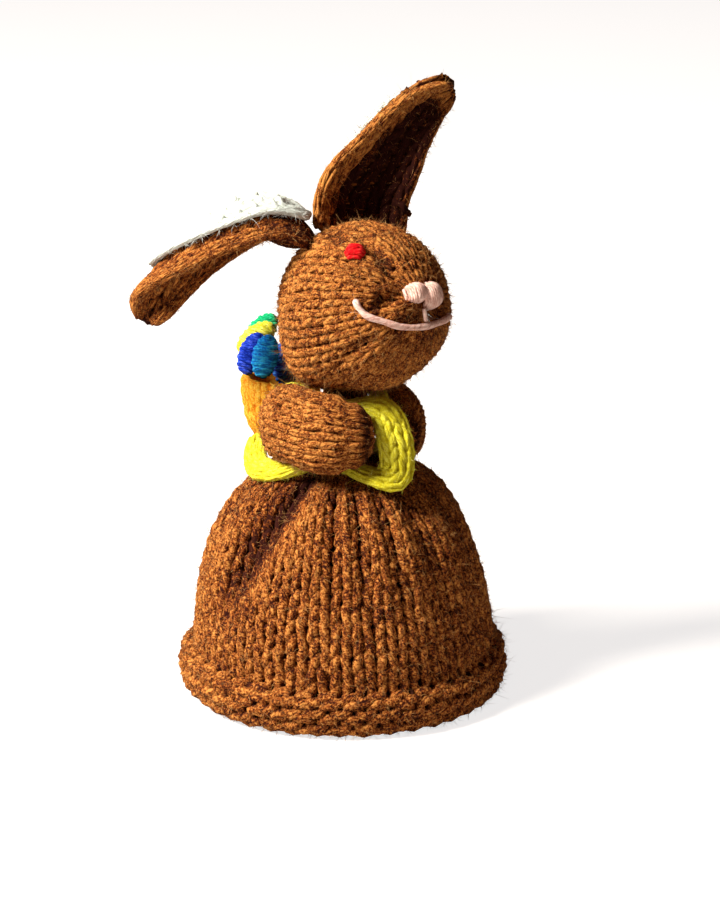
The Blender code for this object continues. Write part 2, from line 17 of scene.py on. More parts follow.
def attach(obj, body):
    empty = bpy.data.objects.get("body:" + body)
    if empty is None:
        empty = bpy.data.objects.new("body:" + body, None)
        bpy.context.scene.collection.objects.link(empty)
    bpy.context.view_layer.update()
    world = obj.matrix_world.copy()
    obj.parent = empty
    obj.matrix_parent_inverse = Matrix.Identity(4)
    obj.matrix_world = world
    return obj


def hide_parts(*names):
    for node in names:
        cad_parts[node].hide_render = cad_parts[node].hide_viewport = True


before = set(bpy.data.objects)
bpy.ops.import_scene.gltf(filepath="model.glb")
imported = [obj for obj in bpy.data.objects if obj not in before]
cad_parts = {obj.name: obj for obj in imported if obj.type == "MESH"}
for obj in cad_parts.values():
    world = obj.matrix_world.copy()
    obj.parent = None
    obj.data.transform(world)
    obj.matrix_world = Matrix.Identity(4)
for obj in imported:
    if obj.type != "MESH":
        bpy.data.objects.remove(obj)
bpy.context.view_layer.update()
MM = 0.001
TURN = 2 * math.pi

# %% [markdown]
# ## Camera, light and floor
#
# The cosy is seen from its front right, from a little above. The light is large and soft and comes
# mostly from the viewer's left, so that each stitch keeps a shaded side. The colours are shown
# plainly, without a film-like curve, because wool this bright would turn grey under one.

# %% Camera
VIEW_RIGHT = Vector((0.7314, -0.6820, 0.0))
VIEW_UP = Vector((0.1880, 0.2016, 0.9613))
VIEW_INTO = VIEW_UP.cross(VIEW_RIGHT)
MIDDLE = Vector((0.0, 0.0, 0.050))
CAMERA_AWAY = 0.450


def looking_at(place, target):
    """The turn that points an object's -Z axis from place at target, its +Y axis upwards."""
    return (Vector(target) - Vector(place)).to_track_quat("-Z", "Y").to_euler()


camera = bpy.data.objects.new("camera", bpy.data.cameras.new("camera"))
camera.location = MIDDLE - CAMERA_AWAY * VIEW_INTO
aim = MIDDLE + 2.7 * MM * VIEW_RIGHT - 10 * MM * VIEW_UP
camera.rotation_euler = looking_at(camera.location, aim)
camera.data.lens, camera.data.sensor_width = 112.8, 36
camera.data.clip_start = 0.01
bpy.context.scene.collection.objects.link(camera)
bpy.context.scene.camera = camera
print("the camera stands", round((camera.location - MIDDLE).length / MM), "mm away")

# %% [markdown]
# A key lamp gives the shape and a weak one in front fills the shade. The lamps are square and near,
# because a small far lamp would cut hard edges into the stitches.

# %% Light
scene = bpy.context.scene
scene.view_settings.view_transform = "Standard"
scene.view_settings.look = "None"
scene.world = bpy.data.worlds.new("studio")
scene.world.use_nodes = True
sky_tree = scene.world.node_tree
# Seen straight on, the studio is white; as a light it is only a weak warm glow from all round.
seen = sky_tree.nodes.new("ShaderNodeLightPath")
glow = sky_tree.nodes.new("ShaderNodeMix")
glow.data_type = "RGBA"
glow.inputs[6].default_value = (0.080, 0.044, 0.035, 1)
glow.inputs[7].default_value = (1, 1, 1, 1)
sky_tree.links.new(seen.outputs["Is Camera Ray"], glow.inputs[0])
sky_tree.links.new(glow.outputs[2], sky_tree.nodes["Background"].inputs["Color"])


def soft_light(name, right, up, near, size, watts, colour):
    """A square lamp at so many metres to the right of, above and in front of the cosy's middle."""
    lamp = bpy.data.objects.new(name, bpy.data.lights.new(name, "AREA"))
    lamp.data.size, lamp.data.energy, lamp.data.color = size, watts, colour
    lamp.location = MIDDLE + right * VIEW_RIGHT + up * Vector((0, 0, 1)) - near * VIEW_INTO
    lamp.rotation_euler = looking_at(lamp.location, MIDDLE)
    bpy.context.scene.collection.objects.link(lamp)


soft_light("key", -0.450, 0.40, 0.215, 0.20, 11.8, (1.0, 0.96, 0.88))
soft_light("front", 0.25, 0.20, 0.55, 0.40, 0.14, (1.0, 0.80, 0.66))
print("the lamps are", [light.name for light in bpy.data.lights])

# %% [markdown]
# The floor is one large sheet of paper. It glows a little to the viewer alone, as paper lit from
# below does, so that it stays white as far as the eye goes and keeps only a soft shadow.

# %% Floor
paper = bpy.data.materials.new("paper")
paper.use_nodes = True
sheet_shader = paper.node_tree.nodes["Principled BSDF"]
sheet_shader.inputs["Base Color"].default_value = (0.55, 0.52, 0.50, 1)
sheet_shader.inputs["Roughness"].default_value = 0.9
sheet_shader.inputs["Emission Color"].default_value = (1, 1, 1, 1)
looked_at = paper.node_tree.nodes.new("ShaderNodeLightPath")
paper_glow = paper.node_tree.nodes.new("ShaderNodeMath")
paper_glow.operation = "MULTIPLY"
paper_glow.inputs[1].default_value = 0.78
paper.node_tree.links.new(looked_at.outputs["Is Camera Ray"], paper_glow.inputs[0])
paper.node_tree.links.new(paper_glow.outputs[0], sheet_shader.inputs["Emission Strength"])
floor_mesh = bpy.data.meshes.new("floor")
FLOOR = 4  # metres from the middle to an edge
corners = [(-FLOOR, -FLOOR, 0), (FLOOR, -FLOOR, 0), (FLOOR, FLOOR, 0), (-FLOOR, FLOOR, 0)]
floor_mesh.from_pydata(corners, [], [(0, 1, 2, 3)])
floor_mesh.materials.append(paper)
floor = bpy.data.objects.new("floor", floor_mesh)
bpy.context.scene.collection.objects.link(floor)
print("the floor is", 2 * FLOOR, "metres wide")

# %% [markdown]
# ## Small tools for lines and surfaces
#
# A shape here is a function of two shares: one goes round the piece and the other along it, and
# both run from 0 to 1. All its points are worked out at once as arrays.


# %% Directions and curves
def unit(vectors):
    """Vectors along the last axis, each made one long."""
    return vectors / np.maximum(np.linalg.norm(vectors, axis=-1, keepdims=True), 1e-12)


def heading(bearing):
    """The level direction of a bearing: 0 is the front (-Y), and it grows towards +X."""
    return np.stack([np.sin(bearing), -np.cos(bearing), np.zeros_like(bearing)], axis=-1)


UP = np.array([0, 0, 1])


def on_ring(bearing, radius, height):
    """A point at a radius and a height: radius * heading(bearing) + height * up."""
    return heading(bearing) * radius[..., None] + height[..., None] * UP


def through(table, share):
    """A smooth curve through a table's rows (a Catmull-Rom spline), read at shares of its length."""
    rows = np.asarray(table, float)
    padded = np.vstack([2 * rows[0] - rows[1], rows, 2 * rows[-1] - rows[-2]])
    at = np.asarray(share, float) * (len(rows) - 1)
    span = np.clip(np.floor(at).astype(int), 0, len(rows) - 2)
    t = (at - span)[..., None]
    before, start, end, after = (padded[span + k] for k in range(4))
    return 0.5 * (
        2 * start
        + (end - before) * t
        + (2 * before - 5 * start + 4 * end - after) * t**2
        + (3 * start - before - 3 * end + after) * t**3
    )


def evenly(outline):
    """A function that reads an outline's columns at shares of its drawn length."""
    outline = np.asarray(outline, float)
    steps = np.linalg.norm(np.diff(outline, axis=0), axis=1)
    share = np.concatenate([[0], np.cumsum(steps)]) / steps.sum()
    return lambda at: [np.interp(at, share, outline[:, k]) for k in range(outline.shape[1])]


def lumps(a, b, seed):
    """A soft unevenness from about -1 to 1: a few sine waves that close up round the piece."""
    rng = np.random.default_rng(seed)
    total = 0.0
    for _ in range(6):
        around, along, start = rng.integers(1, 5), rng.uniform(0.5, 3), rng.uniform(0, TURN)
        total = total + np.sin(TURN * (around * a + along * b) + start)
    return total / 3


print("bearing 0 points along", heading(np.array(0.0)))


# %% [markdown]
# ## From arrays to a mesh
#
# Every piece goes through the same door: it is given its points and faces in one go, rides on the
# cosy's only body, stands for its plain solid and wears its finish. Its map named yarn runs along
# the strand in millimetres and once round it.

# %% Making a piece
def make_piece(name, points, face_sets, corners, tint, finish, slot, *nodes):
    """A mesh from arrays of points and of faces of equal size, with a map and a tint at each point."""
    mesh = bpy.data.meshes.new(name)
    mesh.vertices.add(len(points))
    mesh.vertices.foreach_set("co", np.ascontiguousarray(points, np.float32).ravel())
    sizes = np.concatenate([np.full(len(faces), faces.shape[1]) for faces in face_sets])
    around = np.concatenate([faces.ravel() for faces in face_sets]).astype(np.int32)
    mesh.loops.add(len(around))
    mesh.loops.foreach_set("vertex_index", around)
    mesh.polygons.add(len(sizes))
    mesh.polygons.foreach_set("loop_start", np.concatenate([[0], np.cumsum(sizes)[:-1]]).astype(np.int32))
    mesh.update(calc_edges=True)
    mesh.uv_layers.new(name="yarn").data.foreach_set("uv", corners.astype(np.float32).ravel())
    mesh.attributes.new("tint", "FLOAT", "POINT").data.foreach_set("value", tint.astype(np.float32))
    mesh.shade_smooth()
    mesh.materials.append(finish)
    piece = bpy.data.objects.new(name, mesh)
    bpy.context.scene.collection.objects.link(piece)
    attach(piece, "root")
    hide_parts(*nodes)
    print(name, "has", int((sizes - 2).sum()), "triangles")
    return piece


def strand_mesh(paths, facing, radius, tint, sides, closed):
    """Round strands along paths, as one set of arrays.

    Each point of a path gets a ring: path + radius * (cos(k) * out + sin(k) * side), where out is
    what is left of facing once the strand's own direction is taken away. Rings are joined by
    four-sided faces; an open strand also gets a cap at each end."""
    strands, count, _ = paths.shape
    if closed:
        along = unit(np.roll(paths, -1, 1) - np.roll(paths, 1, 1))
        steps = np.linalg.norm(np.roll(paths, -1, 1) - paths, axis=-1)
    else:
        along = unit(np.gradient(paths, axis=1))
        steps = np.linalg.norm(np.diff(paths, axis=1), axis=-1)
    side = unit(np.cross(along, facing))
    out = np.cross(side, along)
    turn = np.linspace(0, TURN, sides, endpoint=False) + math.pi
    wide = np.broadcast_to(radius, (strands, count))[..., None, None]
    spokes = np.cos(turn)[:, None] * out[:, :, None] + np.sin(turn)[:, None] * side[:, :, None]
    points = (paths[:, :, None] + wide * spokes).reshape(-1, 3)

    length = np.concatenate([np.zeros((strands, 1)), np.cumsum(steps, 1)], 1) / MM
    spans = count if closed else count - 1
    strand, span, k = np.meshgrid(np.arange(strands), np.arange(spans), np.arange(sides), indexing="ij")
    ahead, beside = (span + 1) % count, (k + 1) % sides
    here = (strand * count + span) * sides
    there = (strand * count + ahead) * sides
    quads = np.stack([here + k, here + beside, there + beside, there + k], -1).reshape(-1, 4)
    u0, u1 = length[strand, span], length[strand, span + 1]
    v0, v1 = k / sides, (k + 1) / sides
    corners = np.stack([u0, v0, u0, v1, u1, v1, u1, v0], -1).reshape(-1, 2)
    shade = np.repeat(np.broadcast_to(tint, (strands, count)).ravel(), sides)
    face_sets = [quads]
    if not closed:
        ring = np.arange(sides)
        first = (np.arange(strands) * count * sides)[:, None] + ring[::-1]
        last = (np.arange(1, strands + 1) * count * sides - sides)[:, None] + ring
        face_sets.append(np.concatenate([first, last]))
        ends = np.repeat(np.stack([length[:, 0], length[:, -1]]).ravel(), sides)
        corners = np.concatenate([corners, np.stack([ends, np.full_like(ends, 0.5)], -1)])
    return points, face_sets, corners, shade


def join(parts):
    """Several sets of arrays as one, each one's faces counted on from the last one's points."""
    points, quads, caps, corners, cap_corners, shades, base = [], [], [], [], [], [], 0
    for spot, face_sets, corner, shade in parts:
        points.append(spot)
        shades.append(shade)
        quads.append(face_sets[0] + base)
        corners.append(corner[: face_sets[0].size])
        if len(face_sets) > 1:
            caps.append(face_sets[1] + base)
            cap_corners.append(corner[face_sets[0].size :])
        base += len(spot)
    faces = [np.concatenate(quads)] + ([np.concatenate(caps)] if caps else [])
    return np.concatenate(points), faces, np.concatenate(corners + cap_corners), np.concatenate(shades)


# %% [markdown]
# ## How a row of knitting runs
#
# A strand of yarn goes round the piece and makes one loop a stitch. Seen from the right side the
# loop's two legs lie in front and lean apart like a V, and its head and feet hide behind the rows
# above and below. Seen from the wrong side the heads and feet lie in front as small bumps: that is
# the same path with its front and back swapped.


# %% Knitting on a surface
def surface_frame(surface, a, b):
    """Points of a surface, its outward direction there and its width per whole turn."""
    e = 1e-3
    here = surface(a, b)
    across = surface(a + e, b) - surface(a - e, b)
    onward = surface(a, b + e) - surface(a, b - e)
    out = unit(np.cross(across, onward))
    # Outward is away from the middle of the ring that the point belongs to.
    middle = sum(surface(a + k / 6, b) for k in range(6)) / 6
    if np.sum(out * (here - middle)) < 0:
        out = -out
    return here, out, np.linalg.norm(across, axis=-1) / (2 * e)


def knit(surface, stitches, rows, yarn, span=(0, 1), proud=0.12 * MM, purl=False, seed=1, steps=14,
         sides=8, reach=0.9, lean=0.2, sag=0.5, shade=None):
    """Rows of knitted loops on a surface: arrays for a mesh, and where loose fibres can grow.

    With t the turn within a stitch, a loop runs
      round the piece:  s + lean * sin(2 t)      (counted in stitches)
      along the piece:  row - reach * cos(t)     (counted in rows)
      out of the piece: -sag * cos(2 t)          (counted in yarn radii; the other way for purl)
    and the yarn's outermost points stand proud of the surface. Every stitch is a little larger,
    smaller or further out than its neighbour. The hidden parts of a loop get a darker tint, painted
    shade, and so do the places for which shade gives more than 0."""
    rng = np.random.default_rng(seed)
    s = np.arange(stitches * steps) / steps
    t = TURN * s
    first = s.astype(int)
    fade = 0.5 - 0.5 * np.cos(math.pi * (s - first))

    def uneven(swing):
        each = rng.normal(0, swing, (rows, stitches))
        return each[:, first] * (1 - fade) + each[:, (first + 1) % stitches] * fade

    row = np.arange(rows)[:, None]
    low, high = span
    a = (s + lean * np.sin(2 * t) + uneven(0.05)) / stitches
    b = (row + 0.9 - (reach + uneven(0.05)) * np.cos(t) + uneven(0.06)) / (rows + 0.8)
    b = low + (high - low) * b
    point, out, width = surface_frame(surface, a, b)
    thick = yarn * np.clip(width / stitches / (3.9 * yarn), 0.45, 1) * (1 + uneven(0.06))
    wave = (1 if purl else -1) * np.cos(2 * t)
    lift = proud + thick * (sag * wave - 1 - sag) + np.minimum(uneven(0.10), 0.05) * thick
    paths = point + out * lift[..., None]
    # Painted shade: the tint darkens where the loop dips behind its neighbours and where shade gives more
    # than 0; where shade gives less than 0 it is paler.
    tint = uneven(0.8) - 1.3 * (1 - wave) - (shade(a, b) if shade else 0)
    arrays = strand_mesh(paths, out, thick, tint, sides, True)
    shown = np.broadcast_to(wave > 0.2, thick.shape)
    roots = (paths + out * thick[..., None] * 0.8)[shown], out[shown]
    return arrays, roots


def core(surface, inset, around=40, along=24, span=(0, 1)):
    """The padding under a knitted piece: the same surface, a little smaller, closed at its ends."""
    a = np.linspace(0, 1, around, endpoint=False)[None]
    b = np.linspace(*span, along)[:, None]
    point, out, _ = surface_frame(surface, *np.broadcast_arrays(a, b))
    return grid_mesh(point - out * inset, out)


def grid_mesh(rings, out):
    """Rings of points joined side by side, with a fan of faces to a middle point at both ends."""
    along, around, _ = rings.shape
    i, k = np.meshgrid(np.arange(along - 1), np.arange(around), indexing="ij")
    here, beside = i * around + k, i * around + (k + 1) % around
    quads = np.stack([here, beside, beside + around, here + around], -1).reshape(-1, 4)
    ends = np.stack([rings[0].mean(0), rings[-1].mean(0)])
    points = np.concatenate([rings.reshape(-1, 3), ends])
    ring, last = np.arange(around), along * around
    after = (ring + 1) % around
    start = np.stack([after, ring, np.full(around, last)], -1)
    end = np.stack([last - around + ring, last - around + after, np.full(around, last + 1)], -1)
    fans = np.concatenate([start, end])
    face = np.cross(points[quads[:, 1]] - points[quads[:, 0]], points[quads[:, 2]] - points[quads[:, 0]])
    if np.sum(face * out.reshape(-1, 3)[quads[:, 0]]) < 0:
        quads, fans = quads[:, ::-1], fans[:, ::-1]
    shares = np.stack([points[:, 0], points[:, 2]], -1) / MM
    corners = np.concatenate([shares[quads.ravel()], shares[fans.ravel()]])
    return points, [quads, fans], corners, np.zeros(len(points))


def try_tube(a, b):
    """A plain tube to try the stitch on, 10 mm in radius and in height."""
    return on_ring(TURN * a, 10 * MM + 0 * b, 10 * MM * b)


try_rows, try_roots = knit(try_tube, 20, 2, 0.8 * MM)
print("two rows of twenty stitches take", len(try_rows[0]), "points")


# %% [markdown]
# ## Loose fibres
#
# Wool is never smooth: short fibres stand off every strand and soften its outline. Each fibre is a
# thin three-sided spike that bends once on its way, so thousands of them cost little.


# %% Fibres
def fibres(roots, count, length, seed, thick, wild):
    """Bent spikes from points on the yarn: at t they are root + length * (t * way + t^2 * bend)."""
    rng = np.random.default_rng(seed)
    places = np.concatenate([r[0] for r in roots])
    outs = np.concatenate([r[1] for r in roots])
    pick = rng.integers(0, len(places), count)
    root, out = places[pick], outs[pick]
    way = unit(out * rng.uniform(0.15, 1.0, (count, 1)) + wild * unit(rng.normal(size=(count, 3))))
    below = np.minimum(np.sum(way * out, -1, keepdims=True), 0)
    way = unit(way - 1.6 * below * out)
    bend = 0.55 * rng.normal(size=(count, 3)) + (0, 0, -0.15)
    reach = (length * np.clip(rng.gamma(2.5, 0.4, count), 0.3, 2.6))[:, None]
    t = np.array([0.0, 0.5])
    onward, aside = t[:, None] * way[:, None], t[:, None] ** 2 * bend[:, None]
    line = root[:, None] + reach[..., None] * (onward + aside * 0.6)
    tip = root + reach * (way + bend * 0.6)
    line[..., 2], tip[:, 2] = np.maximum(line[..., 2], thick), np.maximum(tip[:, 2], thick)
    side = unit(np.cross(way, rng.normal(size=(count, 3))))
    other = np.cross(way, side)
    turn = np.arange(3) * TURN / 3
    spokes = np.cos(turn)[:, None] * side[:, None] + np.sin(turn)[:, None] * other[:, None]
    wide = thick * np.array([1.0, 0.75])
    rings = line[:, :, None] + wide[:, None, None] * spokes[:, None]
    points = np.concatenate([rings.reshape(count, 6, 3), tip[:, None]], 1).reshape(-1, 3)
    quad = np.array([[k, (k + 1) % 3, 3 + (k + 1) % 3, 3 + k] for k in range(3)])
    three = np.array([[3, 4, 6], [4, 5, 6], [5, 3, 6], [2, 1, 0]])
    base = (np.arange(count) * 7)[:, None, None]
    quads, threes = (quad + base).reshape(-1, 4), (three + base).reshape(-1, 3)
    corners = np.zeros((quads.size + threes.size, 2))
    return points, [quads, threes], corners, np.repeat(rng.normal(size=count), 7)


one_fibre = fibres([try_roots], 1, 1.0 * MM, 1, 0.028 * MM, 0.9)
print("one fibre has", sum(len(faces) * (faces.shape[1] - 2) for faces in one_fibre[1]), "triangles")


# %% [markdown]
# ## Wool
#
# One recipe serves every colour. Three plies are twisted together, so a shallow groove winds round
# the strand, and fine streaks run along the plies where fibres lie side by side. The colour is
# never even: the brown is a heather, spun from golden, red-brown and nearly black fibres.


# %% The effect that all the wools share
def node(tree, kind, settings=(), **inputs):
    """A new node; inputs are links from other nodes or plain values, by socket name or number."""
    made = tree.nodes.new(kind)
    for key, value in settings:
        setattr(made, key, value)
    for key, value in inputs.items():
        socket = made.inputs[int(key[1:]) if key[0] == "_" else key.replace("_", " ")]
        if isinstance(value, bpy.types.NodeSocket):
            tree.links.new(value, socket)
        else:
            socket.default_value = value
    return made.outputs[0]


def maths(tree, operation, first, second=0.0):
    """A Math node's result from one or two values."""
    return node(tree, "ShaderNodeMath", [("operation", operation)], _0=first, _1=second)


def blend_colour(tree, factor, first, second):
    """The first colour where factor is 0 and the second where it is 1."""
    made = tree.nodes.new("ShaderNodeMix")
    made.data_type = "RGBA"
    for socket, value in ((made.inputs[0], factor), (made.inputs[6], first), (made.inputs[7], second)):
        if isinstance(value, bpy.types.NodeSocket):
            tree.links.new(value, socket)
        else:
            socket.default_value = value
    return made.outputs[2]


def spread(tree, value, low, high):
    """A value stretched so that low becomes 0 and high becomes 1, and cut off outside them."""
    return node(tree, "ShaderNodeMapRange", [("clamp", True)], Value=value, From_Min=low, From_Max=high)


def build_wool_group():
    """The shared effect: colour and relief of a twisted strand, from its own map, with painted shade in
    its ply grooves and on its flanks.
    """
    group = bpy.data.node_groups.new("twisted_wool", "ShaderNodeTree")
    for name, kind, start in (("Mid", "NodeSocketColor", (0.5, 0.5, 0.5, 1)),
                              ("Light", "NodeSocketColor", (0.8, 0.8, 0.8, 1)),
                              ("Dark", "NodeSocketColor", (0.2, 0.2, 0.2, 1)),
                              ("Heather", "NodeSocketFloat", 0.5),
                              ("Ply Length", "NodeSocketFloat", 5.0),
                              ("Plies", "NodeSocketFloat", 3.0),
                              ("Flank Shade", "NodeSocketFloat", 0.9)):
        socket = group.interface.new_socket(name=name, in_out="INPUT", socket_type=kind)
        socket.default_value = start
    group.interface.new_socket(name="Color", in_out="OUTPUT", socket_type="NodeSocketColor")
    group.interface.new_socket(name="Height", in_out="OUTPUT", socket_type="NodeSocketFloat")
    given = group.nodes.new("NodeGroupInput").outputs
    uv = group.nodes.new("ShaderNodeUVMap")
    uv.uv_map = "yarn"
    apart = group.nodes.new("ShaderNodeSeparateXYZ")
    group.links.new(uv.outputs[0], apart.inputs[0])
    u, v = apart.outputs[0], apart.outputs[1]
    tint = group.nodes.new("ShaderNodeAttribute")
    tint.attribute_name = "tint"
    place = group.nodes.new("ShaderNodeTexCoord").outputs["Object"]

    phase = maths(group, "ADD", maths(group, "DIVIDE", u, given["Ply Length"]),
                  maths(group, "MULTIPLY", v, given["Plies"]))
    ridge = maths(group, "ABSOLUTE", maths(group, "SINE", maths(group, "MULTIPLY", phase, math.pi)))
    ply = maths(group, "POWER", ridge, 0.6)
    lay = node(group, "ShaderNodeCombineXYZ", X=maths(group, "MULTIPLY", phase, 5.0),
               Y=maths(group, "MULTIPLY", u, 0.7),
               Z=maths(group, "MULTIPLY", tint.outputs["Fac"], 7.0))
    streak = node(group, "ShaderNodeTexNoise", Vector=lay, Scale=1.0, Detail=3.0, Roughness=0.6)
    cloud = node(group, "ShaderNodeTexNoise", Vector=place, Scale=800.0, Detail=2.0, Roughness=0.6)
    speck = node(group, "ShaderNodeTexNoise", Vector=place, Scale=2300.0, Detail=1.0, Roughness=0.6)

    # Where the streaks, the clouds and the specks are all high the light fibres lie on top.
    mixed = maths(group, "ADD", maths(group, "MULTIPLY", streak, 0.55),
                  maths(group, "ADD", maths(group, "MULTIPLY", cloud, 0.22),
                        maths(group, "MULTIPLY", speck, 0.23)))
    # Painted shade: the tint holds random tone and also the darkening that knit paints into hidden loops,
    # folds and creases; a low tint pulls the colour towards Dark.
    mixed = maths(group, "ADD", mixed, maths(group, "MULTIPLY", tint.outputs["Fac"], 0.018))
    lighter = maths(group, "MULTIPLY", spread(group, mixed, 0.495, 0.575), given["Heather"])
    darker = maths(group, "MULTIPLY", spread(group, mixed, 0.495, 0.42), given["Heather"])
    # Painted shade: the grooves between the plies are darkened towards Dark.
    groove = maths(group, "MULTIPLY", spread(group, ply, 0.62, 0.10), 0.60)
    # Painted shade: the strand's flanks, at v near 0 and 1, press against their neighbours and are
    # darkened.
    facing = maths(group, "COSINE", maths(group, "MULTIPLY", v, TURN))
    flank_shade = maths(group, "MULTIPLY", spread(group, facing, -0.74, 0.15), given["Flank Shade"])
    colour = blend_colour(group, lighter, given["Mid"], given["Light"])
    colour = blend_colour(group, darker, colour, given["Dark"])
    colour = blend_colour(group, maths(group, "MAXIMUM", groove, flank_shade), colour, given["Dark"])
    relief = maths(group, "ADD", maths(group, "MULTIPLY", ply, 0.55),
                   maths(group, "MULTIPLY", streak, 0.6))
    result = group.nodes.new("NodeGroupOutput")
    group.links.new(colour, result.inputs["Color"])
    group.links.new(relief, result.inputs["Height"])
    return group


wool_group = build_wool_group()
print("the wool effect has", len(wool_group.nodes), "nodes")

# %% [markdown]
# Each wool sets its own colours, and its sheen: the pale glow that loose fibres give at the edge.


# %% The wools
def wool(name, mid, light, dark, heather=1.0, ply_length=5.0, plies=3.0, relief=0.25 * MM, flank_shade=0.9):
    """A wool from three colours; the ply length is in mm, and flank_shade says how much painted shade
    darkens its sides.
    """
    made = bpy.data.materials.new(name)
    made.use_nodes = True
    tree = made.node_tree
    shader = tree.nodes["Principled BSDF"]
    effect = tree.nodes.new("ShaderNodeGroup")
    effect.node_tree = wool_group
    for key, value in (("Mid", (*mid, 1)), ("Light", (*light, 1)), ("Dark", (*dark, 1)),
                       ("Heather", heather), ("Ply Length", ply_length), ("Plies", plies),
                       ("Flank Shade", flank_shade)):
        effect.inputs[key].default_value = value
    bump = tree.nodes.new("ShaderNodeBump")
    bump.inputs["Distance"].default_value = relief
    tree.links.new(effect.outputs["Height"], bump.inputs["Height"])
    tree.links.new(effect.outputs["Color"], shader.inputs["Base Color"])
    tree.links.new(bump.outputs["Normal"], shader.inputs["Normal"])
    shader.inputs["Roughness"].default_value = 0.85
    shader.inputs["Specular IOR Level"].default_value = 0.08
    shader.inputs["Sheen Weight"].default_value = 0.05
    shader.inputs["Sheen Roughness"].default_value = 0.5
    shader.inputs["Sheen Tint"].default_value = (*light, 1)
    return made


brown = wool("brown_wool", (0.26, 0.063, 0.010), (0.60, 0.245, 0.055), (0.028, 0.005, 0.003))
# Painted shade: a near-black brown for the fillings and the skirt's backing, which show only as the dark
# in the gaps between stitches.
painted_shade_brown = wool("painted_shade_wool", (0.030, 0.008, 0.004), (0.06, 0.018, 0.006), (0.012, 0.004, 0.003))
white = wool("white_wool", (0.74, 0.79, 0.73), (0.84, 0.88, 0.83), (0.64, 0.69, 0.62), 0.5, flank_shade=0.3)
yellow = wool("yellow_wool", (0.78, 0.71, 0.03), (0.90, 0.86, 0.13), (0.55, 0.44, 0.01),
              0.7, 4.0, flank_shade=0.3)
orange = wool("orange_wool", (0.92, 0.44, 0.03), (0.97, 0.62, 0.09), (0.72, 0.17, 0.006),
              0.9, 4.0, flank_shade=0.5)
pink = wool("pink_thread", (0.83, 0.52, 0.43), (0.93, 0.70, 0.61), (0.55, 0.27, 0.21),
            0.8, 2.0, 2.0, 0.05 * MM, 0.3)
red = wool("red_thread", (0.75, 0.008, 0.012), (0.92, 0.06, 0.045), (0.36, 0.0, 0.003),
           0.8, 2.0, 2.0, 0.08 * MM, 0.4)
EGG_WOOLS = {
    "egg_sky": wool("sky_wool", (0.01, 0.31, 0.86), (0.06, 0.62, 0.97), (0.01, 0.09, 0.50),
                    0.9, 3.0, flank_shade=0.4),
    "egg_navy": wool("navy_wool", (0.01, 0.05, 0.54), (0.08, 0.14, 0.82), (0.004, 0.015, 0.25),
                     0.9, 3.0, flank_shade=0.4),
    "egg_violet": wool("violet_wool", (0.03, 0.13, 0.66), (0.10, 0.40, 0.92), (0.02, 0.03, 0.34),
                       1.0, 3.0),
    "egg_yellow": wool("lemon_wool", (0.80, 0.74, 0.05), (0.95, 0.92, 0.25), (0.60, 0.52, 0.01),
                       0.8, 3.0, flank_shade=0.3),
    "egg_green": wool("green_wool", (0.01, 0.46, 0.18), (0.05, 0.72, 0.33), (0.0, 0.26, 0.08),
                      0.8, 3.0, flank_shade=0.3),
}
print("there are", len(bpy.data.materials), "materials")


def fibre_wool(name, colour, glow):
    """Loose fibres: one plain colour that varies from fibre to fibre."""
    made = bpy.data.materials.new(name)
    made.use_nodes = True
    tree = made.node_tree
    shader = tree.nodes["Principled BSDF"]
    tint = tree.nodes.new("ShaderNodeAttribute")
    tint.attribute_name = "tint"
    pale = spread(tree, tint.outputs["Fac"], -1.2, 1.6)
    tree.links.new(blend_colour(tree, pale, (*colour, 1), (*glow, 1)), shader.inputs["Base Color"])
    shader.inputs["Roughness"].default_value = 0.7
    shader.inputs["Specular IOR Level"].default_value = 0.1
    return made


brown_fibre = fibre_wool("brown_fibres", (0.22, 0.07, 0.018), (0.66, 0.36, 0.13))
white_fibre = fibre_wool("white_fibres", (0.78, 0.82, 0.77), (0.90, 0.93, 0.89))
yellow_fibre = fibre_wool("yellow_fibres", (0.66, 0.60, 0.03), (0.92, 0.90, 0.25))
print("with the loose fibres there are", len(bpy.data.materials))

# %% [markdown]
# ## The skirt
#
# The skirt is knitted in the round from its hem upwards and drawn in at the waist, where its cloth
# bunches into uneven folds. The surface is a dome, r = R * (1 - (z / H)^3.5)^(1 / 3.5), and each
# fold is a trough that deepens towards the waist.

# %% The skirt's form
DOME_RADIUS, DOME_HEIGHT, DOME_FULLNESS = 25.2 * MM, 38.4 * MM, 3.5
SKIRT_CLOTH = 2.9 * MM
CROWN_RADIUS = 6.0 * MM
FOLDS = [
    # bearing, drift, depth, fades at, half width
    (-76, -28, 4.8, 12, 9),
    (-50, 6, 1.7, 15, 4.5),
    (-36, 4, 1.6, 14, 4.5),
    (-21, 5, 1.6, 15, 4),
    (-2, 4, 2.1, 17, 8),
    (24, 6, 1.6, 18, 7),
    (50, 3, 2.1, 16, 9),
    (78, -5, 1.6, 18, 8),
    (104, 5, 2.2, 15, 9),
    (133, 3, 1.6, 19, 8),
    (160, -4, 2.1, 16, 9),
    (190, 4, 1.7, 18, 8),
    (216, -3, 2.2, 16, 9),
    (244, -6, 1.6, 18, 8),
    (266, -5, 1.4, 17, 7),
]


def fold_depth(bearing, height):
    """How deep the gathers pull the skirt in: bells across their width that deepen upwards."""
    depth = 0.0
    for centre, drift, deep, fades, half in FOLDS:
        rise = np.clip((height - fades * MM) / (DOME_HEIGHT - fades * MM), 0, 1)
        off = (bearing - np.radians(centre + drift * (1 - rise)) + math.pi) % TURN - math.pi
        depth = depth + deep * MM * rise**0.8 * np.exp(-((off / math.radians(half)) ** 2))
    return depth


def bag(bearing, height):
    """The cloth bags out beside its deepest fold: a bell round one place."""
    off = (bearing + math.radians(133) + math.pi) % TURN - math.pi
    return 0.9 * MM * np.exp(-((off / math.radians(50)) ** 2) - ((height - 28 * MM) / (8.5 * MM)) ** 2)


